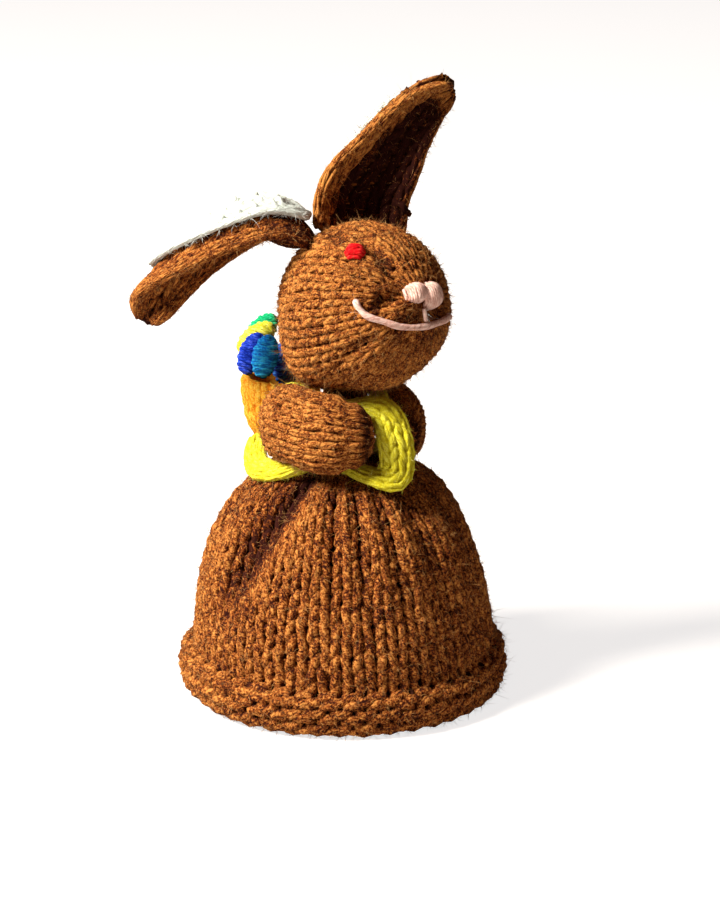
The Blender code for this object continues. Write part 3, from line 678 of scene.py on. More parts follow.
def dome_outline(radius, top, foot, narrow, count=300):
    """(radius, height) points up a dome from a height to a narrow radius near its top."""
    end = top * math.sqrt(1 - (narrow / radius) ** DOME_FULLNESS)
    z = top * np.sin(np.linspace(math.asin(foot / top), math.asin(end / top), count))
    return np.stack([radius * (1 - (z / top) ** 2) ** (1 / DOME_FULLNESS), z], 1)


SKIRT_FOOT, SKIRT_WAIST = 5.2 * MM, 4.6 * MM
dome_form = evenly(dome_outline(DOME_RADIUS, DOME_HEIGHT, SKIRT_FOOT, SKIRT_WAIST))


def gathered(radius, bearing, height):
    """How deep the folds pull in at a radius: less near the waist, where there is no room."""
    return fold_depth(bearing, height) * np.clip(radius / CROWN_RADIUS - 0.75, 0, 1)


def skirt_surface(a, b):
    """The dome less its gathers: r = dome - fold + bag + a little unevenness."""
    radius, height = dome_form(b)
    bearing = TURN * a
    pulled = radius - gathered(radius, bearing, height)
    pulled = pulled + bag(bearing, height) + 0.3 * MM * lumps(a, b, 3) - 0.15 * MM
    return on_ring(bearing, pulled, height)


print("the skirt has", len(FOLDS), "gathers, the deepest", max(row[2] for row in FOLDS), "mm")


# %% [markdown]
# Forty-one stitches go round and seventeen rows go up. The hem is left to roll outwards as stocking
# stitch always does, so its wrong side shows, and its rows run round a soft ring.

# %% Knitting the skirt
HEM_RADIUS, HEM_WIDE, HEM_TALL = 24.75 * MM, 2.35 * MM, 3.85 * MM
SKIRT_STITCHES, SKIRT_ROWS, HEM_ROWS = 41, 17, 5


def hem_surface(a, b):
    """A ring of cloth: its oval section turns from under the hem, round the outside, to its top."""
    swing = np.radians(-110 + 225 * b)
    wave = 1 + 0.10 * lumps(a, b * 0, 8)
    radius = HEM_RADIUS + HEM_WIDE * wave * np.cos(swing)
    height = 4.0 * MM + HEM_TALL * np.sin(swing)
    height = height + 0.35 * MM * (1 + np.sin(swing)) * lumps(a, b * 0, 9)
    return on_ring(TURN * a, radius, height)


def skirt_shade(a, b):
    """Painted shade in the folds: the deeper the fold, the darker its stitches' tint."""
    return (fold_depth(TURN * a, dome_form(b)[1]) / MM) ** 1.5


skirt_rows, skirt_roots = knit(skirt_surface, SKIRT_STITCHES, SKIRT_ROWS, 0.84 * MM, seed=11, steps=12,
                               shade=skirt_shade)
hem_rows, hem_roots = knit(hem_surface, SKIRT_STITCHES, HEM_ROWS, 0.85 * MM, (-0.03, 1.0), 0.05 * MM,
                           purl=True, seed=12, steps=12, sag=0.55)
skirt_stitches = make_piece("skirt_stitches", *skirt_rows, brown, "brown_knit", "skirt")
hem_stitches = make_piece("skirt_hem", *hem_rows, brown, "brown_knit", "skirt")


# %% [markdown]
# Behind the stitches lies the body of the cloth: a closed sheet that gives the inside of the skirt its
# surface. It wears a near-black brown, painted shade, that fills the gaps between the stitches.

# %% The cloth behind the stitches
def skirt_backing():
    """A closed shell: up the outside 1.8 mm under the stitches' surface, and down the inside."""
    a = np.linspace(0, 1, 96, endpoint=False)[None]
    b = np.linspace(0.0, 1, 34)[:, None]
    point, out, _ = surface_frame(skirt_surface, *np.broadcast_arrays(a, b))
    outside = point - 1.8 * MM * out
    outside[:2] = outside[:2] - UP * (np.array([4.0, 1.6]) * MM)[:, None, None]
    inner = dome_outline(DOME_RADIUS - SKIRT_CLOTH, DOME_HEIGHT - SKIRT_CLOTH, 1.2 * MM, 4.2 * MM, 34)
    bearing = TURN * a[0]
    radius = inner[:, :1] - 0.8 * gathered(inner[:, :1], bearing[None], inner[:, 1:])
    inside = on_ring(bearing[None], radius, np.broadcast_to(inner[:, 1:], radius.shape))
    rings = np.concatenate([inside[::-1], outside])
    outs = np.concatenate([-heading(np.broadcast_to(bearing, (34, 96))), out])
    return grid_mesh(rings, outs)


skirt_cloth = make_piece("skirt_cloth", *skirt_backing(), painted_shade_brown, "brown_knit", "skirt")

# %% [markdown]
# ## The head
#
# The head is a stuffed ball that was drawn together at the nose, so its columns of stitches all
# run towards the nose from the back of the head. The face points a little upwards.

# %% The head's form
HEAD_RADIUS = 13.4 * MM
HEAD_CENTRE = np.array([0.0, -5.0, 64.3]) * MM
MUZZLE_RISE = math.radians(15)
FACE_TURN = math.radians(-2.5)


def face_direction(turn, rise):
    """A direction from the head's centre: turn from the face's bearing, rise above level."""
    turn, rise = np.broadcast_arrays(np.asarray(turn, float), np.asarray(rise, float))
    level = heading(turn + FACE_TURN) * np.cos(rise)[..., None]
    return level + np.sin(rise)[..., None] * UP


NOSE_WAY = face_direction(0.0, MUZZLE_RISE)
# Each swelling: turn and rise (degrees), height (mm) and spread (degrees): the muzzle, the nape.
SWELLINGS = [(0, 15, 0.7, 38), (-130, -44, 2.2, 28)]
# Each crease: its depth and half width (mm), and the turn and rise it runs through (degrees).
CREASES = [
    (1.0, 1.0, [(-50, 70), (-32, 55), (-23, 44), (-18, 35), (-11, 29)]),
    (2.0, 1.15, [(-36, 13), (-27, 17), (-19, 20), (-12, 22)]),
    (1.0, 1.3, [(-141, 69), (-105, 66), (-68, 61)]),
    (0.9, 1.2, [(-12, 8), (2, 6), (16, 6), (26, 9)]),
    (0.7, 1.0, [(-62, -28), (-46, -14), (-34, -6)]),
]


def swelling(directions):
    """How far the ball swells along directions, in mm: a bell round the muzzle and one at the nape."""
    total = 0.0
    for turn, rise, high, spread_out in SWELLINGS:
        away = np.arccos(np.clip(directions @ face_direction(*np.radians([turn, rise])), -1, 1))
        total = total + high * np.exp(-((away / math.radians(spread_out)) ** 2))
    return total


def head_radius(directions):
    """The ball's radius along directions: it swells at the muzzle and dips along its creases."""
    radius = HEAD_RADIUS + MM * swelling(directions)
    for deep, half, course in CREASES:
        share = np.linspace(0, 1, 25)
        turn, rise = np.radians(through(course, share)).T
        apart = 2 - 2 * directions @ face_direction(turn, rise).T
        dip = np.sin(math.pi * (0.08 + 0.84 * share)) * np.exp(-apart * (HEAD_RADIUS / (half * MM)) ** 2)
        radius = radius - deep * MM * dip.max(-1)
    return radius


def head_surface(a, b):
    """b runs from the back of the head to the nose, a round the line between them."""
    up = unit(np.array([0, 0, 1.0]) - NOSE_WAY * NOSE_WAY[2])
    side = np.cross(NOSE_WAY, up)
    swing = math.pi * (0.990 - 0.974 * b)
    ring = np.cos(TURN * a)[..., None] * up + np.sin(TURN * a)[..., None] * side
    way = np.cos(swing)[..., None] * NOSE_WAY + np.sin(swing)[..., None] * ring
    return HEAD_CENTRE + way * (head_radius(way) + 0.25 * MM * lumps(a, b, 21))[..., None]


def on_head(turn, rise, lift):
    """A point so far above the head's skin."""
    way = face_direction(turn, rise)
    return HEAD_CENTRE + way * (head_radius(way) + lift)[..., None]


print("towards the nose the head is", round(float(head_radius(NOSE_WAY)) / MM, 1), "mm in radius")


# %% [markdown]
# Stitches are dropped towards both ends of the ball, as a knitter narrows it.

# %% Knitting the head
def head_shade(a, b):
    """Painted shade in the creases, which are darkened; elsewhere the tint is a little paler than plain
    wool.
    """
    way = unit(head_surface(a, b) - HEAD_CENTRE)
    return 4 * np.clip(swelling(way) - (head_radius(way) - HEAD_RADIUS) / MM, 0, 2) - 1.0


head_parts = [knit(head_surface, 14, 2, 0.66 * MM, (0.005, 0.13), seed=31, steps=12),
              knit(head_surface, 28, 16, 0.66 * MM, (0.11, 0.86), seed=32, steps=12, shade=head_shade),
              knit(head_surface, 14, 3, 0.66 * MM, (0.84, 1.0), seed=33, steps=12)]
make_piece("head_stitches", *join([p[0] for p in head_parts]), brown, "brown_knit", "head")
# The filling wears the near-black painted shade brown.
head_core = make_piece("head_filling", *core(head_surface, 1.2 * MM), painted_shade_brown, "brown_knit", "head")

# %% [markdown]
# ## The torso and the arms
#
# The torso is a short stub that the straps and the arms hide. Each arm is a fat little sausage that
# curls round it. Both are knitted as tubes.

# %% Torso and arm forms
def torso_surface(a, b):
    """A leaning column with rounded shoulders."""
    swell = np.interp(b, [0, 0.06, 0.2, 0.5, 0.8, 0.94, 1], [0.86, 0.95, 1, 1, 0.98, 0.9, 0.74])
    centre = np.stack([0 * b, -0.4 * MM * b, 39.5 * MM + 10.7 * MM * b], -1)
    return centre + heading(TURN * a) * (3.9 * MM * swell)[..., None]


ARM_AXIS = np.array([0, -1.2, 0]) * MM
ARM_TALL = 1.5
ARMS = {
    # bearing, height, orbit and half thickness, from the shoulder's end to the paw's
    "arm_right": [(-122, 44.8, 10.8, 4.0), (-110, 45.6, 11.0, 4.2), (-94, 46.2, 10.9, 4.3),
                  (-68, 45.7, 10.9, 4.35), (-22, 45.4, 10.8, 4.3)],
    "arm_left": [(113, 45.2, 9.5, 3.4), (90, 45.0, 9.4, 3.4), (60, 43.8, 9.3, 3.4), (29, 42.8, 9.3, 3.4)],
}


def arm_surface(table):
    """A sausage along an arc: its section is an oval that narrows to nothing at both ends."""
    share = 0.5 - 0.5 * np.cos(np.linspace(0.03, math.pi - 0.03, 200))
    rows = through(table, share)
    length = math.radians(abs(table[-1][0] - table[0][0])) * rows[:, 2].mean()
    end = rows[:, 3].mean() / (length / 2)
    inward = np.clip((np.abs(2 * share - 1) - (1 - end)) / end, 0, 0.999)
    full = (1 - inward**2.4) ** (1 / 2.4)
    form = evenly(np.stack([share * length, full * rows[:, 3].mean(), full], 1))

    def surface(a, b):
        at, _, full_here = form(b)
        bearing, high, orbit, thick = np.moveaxis(through(table, at / length), -1, 0)
        # A shallow crease marks where the paw begins.
        full_here = full_here * (1 - 0.10 * np.exp(-(((at / length - 0.89) / 0.03) ** 2)))
        swing = TURN * a
        out = orbit + thick * full_here * np.cos(swing) + 0.2 * lumps(a, b, 41)
        up = high + ARM_TALL * thick * full_here * np.sin(swing)
        return ARM_AXIS + MM * on_ring(np.radians(bearing), out, up)

    return surface


print("the arms run over", {arm: abs(rows[-1][0] - rows[0][0]) for arm, rows in ARMS.items()}, "degrees")

# %% [markdown]
# An arm's tube narrows too fast at its ends for full rows, so each end has one short row of its own.

# %% Knitting the torso and the arms
torso_rows, _ = knit(torso_surface, 9, 4, 0.75 * MM, seed=51, steps=12)
make_piece("torso_stitches", *torso_rows, brown, "brown_knit", "torso")
# The filling wears the near-black painted shade brown.
torso_core = make_piece("torso_filling", *core(torso_surface, 1.3 * MM, 24, 10), painted_shade_brown,
                        "brown_knit", "torso")


def arm_shade(a, b):
    """Painted shade in the crease before the paw, which is darkened; the rest is a little paler than
    plain wool.
    """
    return 6 * np.exp(-(((b - 0.89) / 0.022) ** 2)) - 0.6


arm_roots = []
for seed, arm in ((61, "arm_right"), (62, "arm_left")):
    form = arm_surface(ARMS[arm])
    body = knit(form, 15, 11, 0.72 * MM, (0.09, 0.91), seed=seed, steps=12, shade=arm_shade)
    ends = [knit(form, 7, 1, 0.68 * MM, span, seed=seed + 5, steps=12)
            for span in ((0.02, 0.11), (0.89, 0.98))]
    arm_roots += [body[1], ends[0][1], ends[1][1]]
    make_piece(f"{arm}_stitches", *join([body[0], ends[0][0], ends[1][0]]), brown, "brown_knit", arm)
    inside = core(form, 1.1 * MM, 28, 20, (0.02, 0.98))
    # The filling wears the near-black painted shade brown.
    filling = make_piece(f"{arm}_filling", *inside, painted_shade_brown, "brown_knit", arm)

# %% [markdown]
# ## The ears
#
# Each ear is a brown leaf folded along its middle, with a white lining sewn on the outside of the
# fold. A leaf's section is two straight halves joined by a round crease: its direction turns as
# tanh away from the crease, and adding that direction up gives the shape. The leaf is knitted
# double, so its stitches go round its edges too.

# %% The ears' form
EAR_CLOTH, LINING_CLOTH, SEAT_GAP = 2.3, 1.5, 0.3
CREASE_SOFTNESS = 0.34
EAR_LEFT = [
    # x, y, z, open x, open y, open z, half width, angle
    (5.0, 2.5, 74.6, -0.31, -0.95, 0.00, 9.4, 116),
    (6.3, 3.0, 80.0, -0.31, -0.95, 0.05, 9.6, 106),
    (9.8, 1.3, 85.6, -0.31, -0.95, 0.10, 7.7, 98),
    (12.9, -0.3, 90.3, -0.28, -0.95, 0.05, 6.1, 94),
    (16.0, -2.4, 94.0, -0.20, -0.95, -0.10, 4.6, 96),
    (19.9, -5.4, 96.4, -0.10, -0.90, -0.40, 2.6, 112),
]
EAR_RIGHT = [
    # x, y, z, open x, open y, open z, half width, angle
    (-5.6, 3.2, 74.6, 0.30, -0.45, -0.84, 5.5, 110),
    (-9.5, 6.8, 77.8, 0.10, -0.35, -0.93, 7.1, 80),
    (-13.8, 10.6, 76.4, -0.05, -0.30, -0.95, 7.0, 66),
    (-18.4, 15.0, 72.2, -0.22, -0.25, -0.93, 6.0, 62),
    (-22.0, 18.4, 66.6, -0.45, -0.20, -0.86, 4.4, 72),
    (-24.2, 20.5, 60.4, -0.66, -0.10, -0.72, 2.2, 110),
]
EAR_CURLS = {"right": 15, "left": 65}
LINING_REACH, LINING_SPAN = 0.50, (0.03, 0.76)


def leaf(table, share, across, curl=0.0, rounded=True):
    """Points of the leaf's inner face and its direction away from the fold's opening, in mm."""
    share, across = np.broadcast_arrays(share, across)
    rows = through(table, share)
    crease, opening = rows[..., :3], unit(rows[..., 3:6])
    along = unit(through(table, share + 0.01)[..., :3] - through(table, share - 0.01)[..., :3])
    side = unit(np.cross(along, opening))
    inward = np.cross(side, along)
    half = rows[..., 6]
    if rounded:
        half = half * np.sqrt(1 - np.clip((share - 0.88) / 0.13, 0, 0.97) ** 2)
    bend = (math.pi - np.radians(rows[..., 7])) / 2
    knots, weights = np.polynomial.legendre.leggauss(8)
    t = np.abs(across)

    def course(at):
        folded = bend[..., None] * np.tanh(at / CREASE_SOFTNESS) / math.tanh(1 / CREASE_SOFTNESS)
        return folded - math.radians(curl) * np.clip((at - 0.68) / 0.32, 0, 1)

    inside = course(t[..., None] * (knots + 1) / 2)
    right = t * np.sum(weights / 2 * np.cos(inside), -1) * np.sign(across) * half
    rise = t * np.sum(weights / 2 * np.sin(inside), -1) * half
    turn = course(t[..., None])[..., 0] * np.sign(across)
    place = crease + right[..., None] * side + rise[..., None] * inward
    return place, np.sin(turn)[..., None] * side - np.cos(turn)[..., None] * inward


def plump(swing):
    """A squarish half round: 1 + sin(swing), with the sine taken to the power 0.7."""
    return 1 + np.sign(np.sin(swing)) * np.abs(np.sin(swing)) ** 0.7


def ear_surface(table, curl):
    """The leaf as a flat tube: a goes across its outer face and back across its open face."""
    def surface(a, b):
        swing = TURN * a
        across = np.sign(np.cos(swing)) * np.abs(np.cos(swing)) ** 0.9
        place, away = leaf(table, b, 0.97 * across, curl)
        rise = EAR_CLOTH / 2 * plump(swing)
        return MM * (place + away * rise[..., None])
    return surface


def lining_surface(table):
    """A cushion on the outside of the fold, pointed at both ends."""
    def surface(a, b):
        swing = TURN * a
        width = LINING_REACH * np.clip(np.sin(math.pi * (0.10 + 0.86 * b)), 0, 1) ** 0.45
        share = LINING_SPAN[0] + (LINING_SPAN[1] - LINING_SPAN[0]) * b
        place, away = leaf(table, share, width * np.cos(swing), rounded=False)
        rise = EAR_CLOTH + SEAT_GAP + LINING_CLOTH / 2 * plump(swing)
        return MM * (place + away * rise[..., None])
    return surface


for side, table in (("right", EAR_RIGHT), ("left", EAR_LEFT)):
    middle = through(table, np.linspace(0, 1, 50))[:, :3]
    print("the", side, "ear is", round(np.linalg.norm(np.diff(middle, axis=0), axis=1).sum()), "mm long")

# %% [markdown]
# Each ear gets its brown stitches with a cloth behind them, and then its white lining the same way.
# The brown cloth is a folded sheet, and the lining is a thin pad.

# %% Knitting the ears
def ear_shade(a, b):
    """Painted shade at the bottom of the fold, between its broad edge and its thin one, where hardly any
    light reaches; the rest of the ear is a little paler than plain wool.
    """
    across = np.cos(TURN * a)
    inner = np.clip((across + 0.58 - 0.45 * b) / 0.16, 0, 1) * np.clip((0.90 - across) / 0.12, 0, 1)
    open_face, below_tip = np.clip(-4 * np.sin(TURN * a) - 0.4, 0, 1), np.clip((0.90 - b) / 0.1, 0, 1)
    return 10 * inner * open_face * below_tip - 2.2


def root_shade(a, b):
    """Painted shade: the hanging ear is darkened beside the head, under the upright one."""
    return 3.5 * np.clip((0.32 - b) / 0.25, 0, 1)


ear_roots, white_roots = [], []
for seed, side, table, shade in ((71, "right", EAR_RIGHT, root_shade), (72, "left", EAR_LEFT, ear_shade)):
    ear, lining = f"ear_{side}", f"ear_lining_{side}"
    leaf_form, pad_form = ear_surface(table, EAR_CURLS[side]), lining_surface(table)

    rows_made, roots = knit(leaf_form, 13, 11, 0.78 * MM, (-0.03, 0.97), 0.25 * MM, seed=seed, sag=0.4,
                            shade=shade)
    ear_roots.append(roots)
    stitches = make_piece(f"{ear}_stitches", *rows_made, brown, "brown_knit", ear)
    inside = core(leaf_form, 0.75 * MM, 28, 24, (0, 0.98))
    cloth = make_piece(f"{ear}_cloth", *inside, brown, "brown_knit", ear)

    rows_made, roots = knit(pad_form, 9, 9, 0.70 * MM, (0.03, 0.97), 0.2 * MM, seed=seed + 3, steps=12,
                            sag=0.4)
    white_roots.append(roots)
    make_piece(f"{lining}_stitches", *rows_made, white, "white_knit", lining)
    inside = core(pad_form, 0.55 * MM, 24, 20, (0.03, 0.97))
    cloth = make_piece(f"{lining}_cloth", *inside, white, "white_knit", lining)

# %% [markdown]
# ## The straps
#
# The straps are narrow knitted cords, soft and a little felted, a few stitches round. They run from
# the basket over the shoulders, down the front, under the arms and back.

# %% The straps' form
STRAP_THICK, STRAP_FULLNESS = 1.8, 1.15
STRAPS = {
    "strap_right": [
        # x, y, z, face x, face y, face z, half width
        (-4.4, 8.0, 47.2, -0.5, -0.9, 0.0, 1.9),
        (-5.1, 6.6, 48.8, -0.8, -0.2, 0.3, 1.6),
        (-5.2, 3.2, 48.9, -1.0, 0.0, 0.1, 1.3),
        (-5.1, -1.0, 48.8, -1.0, 0.0, 0.1, 1.2),
        (-4.1, -4.7, 48.5, -0.9, -0.4, 0.1, 1.1),
        (-2.2, -8.6, 49.0, -0.6, -0.6, 0.5, 1.8),
        (-1.2, -11.2, 48.0, -0.5, -0.8, 0.4, 2.5),
        (-1.3, -13.0, 45.2, -0.5, -0.9, 0.1, 2.8),
        (-1.4, -13.9, 42.0, -0.5, -0.9, 0.1, 2.8),
        (-2.1, -14.1, 39.0, -0.4, -0.8, 0.5, 2.6),
        (-3.9, -11.4, 38.5, -0.2, -0.4, 0.9, 1.9),
        (-5.4, -4.4, 39.5, -0.2, 0.0, 1.0, 1.2),
        (-7.0, -1.6, 39.4, -0.2, 0.0, 1.0, 1.2),
        (-10.2, 0.2, 38.5, -0.3, -0.1, 1.0, 1.3),
        (-11.9, 3.2, 37.85, -0.6, -0.25, 0.75, 1.7),
        (-11.8, 6.9, 37.55, -0.75, -0.15, 0.65, 2.05),
        (-9.7, 10.4, 38.2, -0.85, -0.25, 0.45, 2.1),
        (-6.3, 13.3, 40.2, -0.85, -0.5, 0.1, 1.8),
    ],
    "strap_left": [
        # x, y, z, face x, face y, face z, half width
        (4.4, 8.0, 47.2, 0.5, -0.9, 0.0, 1.9),
        (5.0, 6.6, 49.6, 0.8, -0.2, 0.3, 1.7),
        (5.0, 3.2, 50.2, 1.0, 0.0, 0.1, 1.5),
        (4.7, -1.0, 49.8, 1.0, 0.0, 0.1, 1.4),
        (3.8, -4.3, 49.1, 0.9, -0.4, 0.1, 1.2),
        (2.4, -7.4, 47.7, 0.6, -0.6, 0.5, 1.3),
        (2.0, -9.0, 45.8, 0.2, -1.0, 0.2, 1.5),
        (1.8, -9.6, 43.2, 0.1, -1.0, 0.0, 1.5),
        (2.2, -9.2, 40.8, 0.1, -0.9, 0.4, 1.5),
        (3.5, -7.0, 39.4, 0.1, -0.4, 0.9, 1.2),
        (5.1, -3.6, 39.25, 0.2, 0.0, 1.0, 1.1),
        (6.9, 1.0, 39.05, 0.2, 0.0, 1.0, 1.1),
        (8.8, 5.0, 38.7, 0.4, 0.1, 0.9, 1.5),
        (9.5, 8.6, 38.1, 0.7, 0.1, 0.7, 2.0),
        (8.6, 11.8, 38.2, 0.9, 0.2, 0.4, 2.0),
        (7.2, 14.2, 39.8, 1.0, 0.2, 0.1, 1.5),
    ],
}


def strap_surface(table):
    """An oval section carried along a curve, its flat side turned the way the table says."""
    def surface(a, b):
        rows = through(table, b)
        along = unit(through(table, b + 0.01)[..., :3] - through(table, b - 0.01)[..., :3])
        side = unit(np.cross(along, rows[..., 3:6]))
        face = np.cross(side, along)
        wide, high = rows[..., 6] * np.cos(TURN * a), STRAP_FULLNESS * STRAP_THICK / 2 * np.sin(TURN * a)
        return MM * (rows[..., :3] + side * wide[..., None] + face * high[..., None])
    return surface


for name, table in STRAPS.items():
    middle = through(table, np.linspace(0, 1, 200))[:, :3]
    print(name, "is", round(np.linalg.norm(np.diff(middle, axis=0), axis=1).sum()), "mm long")

# %% [markdown]
# Six stitches go round a strap and twenty-seven rows along it, over a core that closes the gaps.

# %% Knitting the straps
yellow_roots = []
for seed, (name, table) in enumerate(STRAPS.items(), 81):
    form = strap_surface(table)
    rows_made, roots = knit(form, 6, 27, 0.66 * MM, proud=0.15 * MM, seed=seed, steps=12, sides=7,
                            sag=0.3)
    yellow_roots.append(roots)
    make_piece(f"{name}_stitches", *rows_made, yellow, "yellow_cord", name)
    make_piece(f"{name}_core", *core(form, 0.55 * MM, 16, 60, (0.01, 0.99)), yellow, "yellow_cord", name)

# %% [markdown]
# ## The basket and its eggs
#
# The basket is a small knitted cup. The eggs in it are wound with yarn, so each is one long strand
# that spirals over an egg-shaped core from end to end.

# %% The basket
BASKET_CENTRE = np.array([0, 15.0, 0]) * MM
BASKET_FOOT, BASKET_RIM, BASKET_RADIUS = 38.3, 48.6, 6.4
BASKET_PROFILE = [(0.1, 0.0), (0.5, 0.0), (0.62, 0.05), (0.72, 0.13), (0.86, 0.32), (0.95, 0.55),
                  (1.0, 0.8), (1.0, 1.0)]
outside = [(r * BASKET_RADIUS, BASKET_FOOT + z * (BASKET_RIM - BASKET_FOOT)) for r, z in BASKET_PROFILE]
over_rim = [(5.9, 49.2), (5.3, 49.1), (4.9, 48.3), (4.8, 46.5), (4.5, 44.5)]
basket_form = evenly(through(outside + over_rim, np.linspace(0, 1, 200)))


def basket_surface(a, b):
    """The cup's outline turned round its axis, up the outside and a little way down the inside."""
    radius, height = basket_form(b)
    return BASKET_CENTRE + MM * on_ring(TURN * a, radius, height)


def basket_cup():
    """The cup's wall as a closed shell: the outside up, over the rim and down the inside."""
    down = [(5.7, 48.8), (4.9, 48.3), (4.8, 45.5), (4.2, 42.2), (3.4, 40.2), (0.6, 39.9)]
    rings = through(outside[1:] + down, np.linspace(0, 1, 40))
    bearing = np.linspace(0, TURN, 36, endpoint=False)
    inset = np.linspace(0.75, 0.0, 40)[:, None]
    radius = np.maximum(rings[:, :1] - inset, 0.3)
    points = heading(bearing)[None] * radius[..., None] + rings[:, 1:, None] * UP
    slope = np.gradient(rings, axis=0)
    outs = heading(bearing)[None] * slope[:, 1:, None] - UP * slope[:, :1, None]
    return grid_mesh(BASKET_CENTRE + MM * points, outs)


basket_rows, _ = knit(basket_surface, 15, 8, 0.70 * MM, (0.10, 0.97), 0.2 * MM, seed=91, steps=12,
                      sag=0.4)
make_piece("basket_stitches", *basket_rows, orange, "orange_knit", "basket")
make_piece("basket_cup", *basket_cup(), orange, "orange_knit", "basket")

# %% [markdown]
# An egg is an ellipsoid pressed against its neighbours. Eight turns of thick yarn climb it, over a
# body of the same colour that fills up what shows between the turns.

# %% The eggs
EGG_RADIUS, EGG_STRETCH, EGG_PRESS = 2.25, 1.65, 0.54
EGG_TURN = math.radians(-43)
EGGS = {
    # name: x, y, z, lean aside (degrees)
    "egg_sky": (-3.5, -0.3, 4.2, 12),
    "egg_navy": (-3.4, 3.1, 4.0, 22),
    "egg_violet": (0.6, -0.4, 2.1, -6),
    "egg_green": (1.1, 6.0, 6.3, 40),
    "egg_yellow": (-1.2, 4.6, 5.9, 50),
}
EGG_WINDS = 8  # how often the yarn goes round


def egg_surface_at(centre, turned, shrink=0.4):
    """An ellipsoid, pressed flat in one direction; b runs from its lower end to its upper end."""
    wide = np.array([EGG_RADIUS - shrink, EGG_RADIUS * EGG_PRESS - shrink, EGG_RADIUS - shrink])

    def surface(a, b):
        swing = math.pi * (1 - b)
        round_way = heading(TURN * a) * np.sin(swing)[..., None] * wide
        point = round_way + (np.cos(swing) * (EGG_RADIUS * EGG_STRETCH - shrink))[..., None] * UP
        return centre + MM * point @ turned.T

    return surface


for seed, (name, (x, y, z, aside)) in enumerate(EGGS.items(), 101):
    turned = np.array(Matrix.Rotation(EGG_TURN, 3, "Z") @ Matrix.Rotation(math.radians(aside), 3, "Y"))
    form = egg_surface_at(BASKET_CENTRE + MM * np.array([x, y, BASKET_RIM + z]), turned)
    wind = np.linspace(0, 1, EGG_WINDS * 24)
    wobble = 0.035 * np.sin(TURN * 8.7 * wind + seed) + 0.02 * np.sin(TURN * 13.1 * wind)
    climb = np.clip(0.03 + 0.94 * wind + wobble, 0.01, 0.99)
    line, out, _ = surface_frame(form, (EGG_WINDS * wind) % 1, climb)
    arrays = strand_mesh(line[None], out[None], 0.44 * MM, np.sin(9 * wind + seed)[None], 7, False)
    inside = core(form, -0.22 * MM, 24, 18, (0.02, 0.98))
    make_piece(f"{name}_winding", *arrays, EGG_WOOLS[name], f"{name}_felt", name)
    make_piece(f"{name}_filling", *inside, EGG_WOOLS[name], f"{name}_felt", name)

# %% [markdown]
# ## The face
#
# The nose is two pads of satin stitch: short threads laid side by side over a small dome. The smile
# is one thick thread, the lip a short upright stitch, and each eye is two layers of level threads,
# six below and three on top.

# %% Satin stitch, and the nose
def satin(turn, rise, half_wide, half_high, bulge, threads, thread, seed, level=False):
    """Threads side by side over a dome: it rises bulge * sqrt(1 - x^2) * (1 - y^4) off the head,
    with x across the threads and y along them, both from -1 to 1."""
    rng = np.random.default_rng(seed)
    x = np.linspace(-0.92, 0.92, threads)[:, None] + rng.normal(0, 0.02, (threads, 1))
    y = np.linspace(-1, 1, 15)[None] * (1 + rng.normal(0, 0.04, (threads, 1)))
    x, y = np.broadcast_arrays(x, y)
    right = half_wide * x
    up = half_high * y * np.sqrt(1 - 0.75 * x**2)
    if level:
        right, up = half_wide * y * np.sqrt(1 - 0.75 * x**2), half_high * x
    lift = bulge * np.sqrt(np.clip(1 - x**2, 0.05, 1)) * (1 - np.clip(y**4, 0, 1)) - 0.1 * MM
    turns, rises = math.radians(turn) + right / HEAD_RADIUS, math.radians(rise) + up / HEAD_RADIUS
    paths = on_head(turns, rises, lift)
    tint = rng.normal(0, 1, (threads, 1))
    return strand_mesh(paths, face_direction(turns, rises), thread, tint, 7, False)


nose = join([satin(8.5, 16.0, 1.75 * MM, 1.95 * MM, 1.5 * MM, 13, 0.32 * MM, 111),
             satin(-4.5, 20.0, 1.75 * MM, 1.35 * MM, 1.15 * MM, 13, 0.30 * MM, 112)])
make_piece("nose_threads", *nose, pink, "pink_yarn", "nose")

# %% [markdown]
# The mouth and the lip are single threads that lie on the head. An eye is stitched like the nose,
# but its threads run level.

# %% Mouth, lip and eyes
SMILE = [(-47, 17), (-44, 12.5), (-39, 8), (-28, 4), (-18, 0.3), (-3, -1.8), (11, -2.0), (22, -1.8),
         (30, -1.6)]
along = np.linspace(0, 1, 60)
smile_out = face_direction(*np.radians(through(SMILE, along)).T)
ends_in = np.clip(np.abs(2 * along - 1) - 0.95, 0, 1) / 0.05
smile = HEAD_CENTRE + smile_out * (HEAD_RADIUS + 0.75 * MM - 0.9 * MM * ends_in)[:, None]
thread = 0.52 * MM * (1 + 0.08 * np.sin(31 * along))
smile_thread = strand_mesh(smile[None], smile_out[None], thread[None], np.zeros((1, 60)), 9, False)
make_piece("mouth_thread", *smile_thread, pink, "pink_yarn", "mouth")

lip_out = face_direction(np.radians(np.linspace(0.5, -0.5, 14)), np.radians(np.linspace(1.5, 9.5, 14)))
lip = HEAD_CENTRE + lip_out * (HEAD_RADIUS + 0.8 * MM)
lip_thread = strand_mesh(lip[None], lip_out[None], 0.34 * MM, np.zeros((1, 14)), 7, False)
make_piece("lip_thread", *lip_thread, pink, "pink_yarn", "lip")

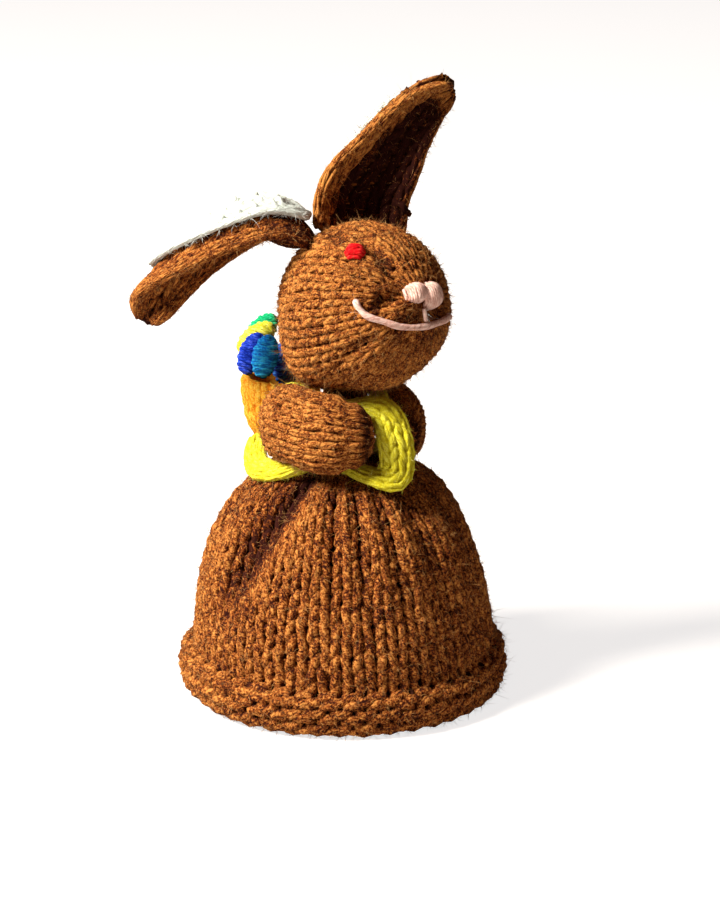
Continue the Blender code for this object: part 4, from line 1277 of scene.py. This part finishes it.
EYES = {"eye_right": (-51, 52), "eye_left": (96, 34)}  # turn from the nose and rise, degrees
for seed, (name, (turn, rise)) in enumerate(EYES.items(), 121):
    knot = join([satin(turn, rise, 2.1 * MM, 1.15 * MM, 1.0 * MM, 6, 0.38 * MM, seed, True),
                 satin(turn, rise, 1.3 * MM, 0.7 * MM, 1.3 * MM, 3, 0.34 * MM, seed + 5, True)])
    make_piece(f"{name}_knot", *knot, red, "red_yarn", name)

# %% [markdown]
# ## The fuzz
#
# The loose fibres come last, because they grow from the strands that are already there.

# %% Growing the fuzz
head_roots = [p[1] for p in head_parts]
face_roots = [(smile, smile_out), (lip, lip_out)]
BROWN, WHITE = (brown_fibre, "brown_knit"), (white_fibre, "white_knit")
FUZZ = [
    # name, roots, how many, length (mm), seed, thickness (mm), how wild, finish and slot, nodes
    ("fuzz_skirt", [skirt_roots], 11500, 1.0, 201, 0.028, 0.9, BROWN, ["skirt"]),
    ("fuzz_hem", [hem_roots], 4000, 0.95, 202, 0.028, 0.9, BROWN, ["skirt"]),
    ("fuzz_head", head_roots, 8000, 0.85, 203, 0.028, 0.9, BROWN, ["head"]),
    ("fuzz_arms", arm_roots, 4000, 0.75, 204, 0.028, 0.9, BROWN, ["arm_right", "arm_left"]),
    ("fuzz_ears", ear_roots, 3600, 0.75, 205, 0.028, 0.9, BROWN, ["ear_right", "ear_left"]),
    ("fuzz_linings", white_roots, 4500, 0.8, 206, 0.028, 2.0, WHITE,
     ["ear_lining_right", "ear_lining_left"]),
    ("fuzz_smile", face_roots, 70, 1.0, 208, 0.014, 1.4, (white_fibre, "pink_yarn"), ["mouth", "lip"]),
    ("fuzz_straps", yellow_roots, 3000, 0.6, 207, 0.028, 1.6, (yellow_fibre, "yellow_cord"),
     ["strap_right", "strap_left"]),
]
for name, roots, count, length, seed, thick, wild, (finish, slot), nodes in FUZZ:
    spikes = fibres(roots, count, length * MM, seed, thick * MM, wild)
    make_piece(name, *spikes, finish, slot, *nodes)
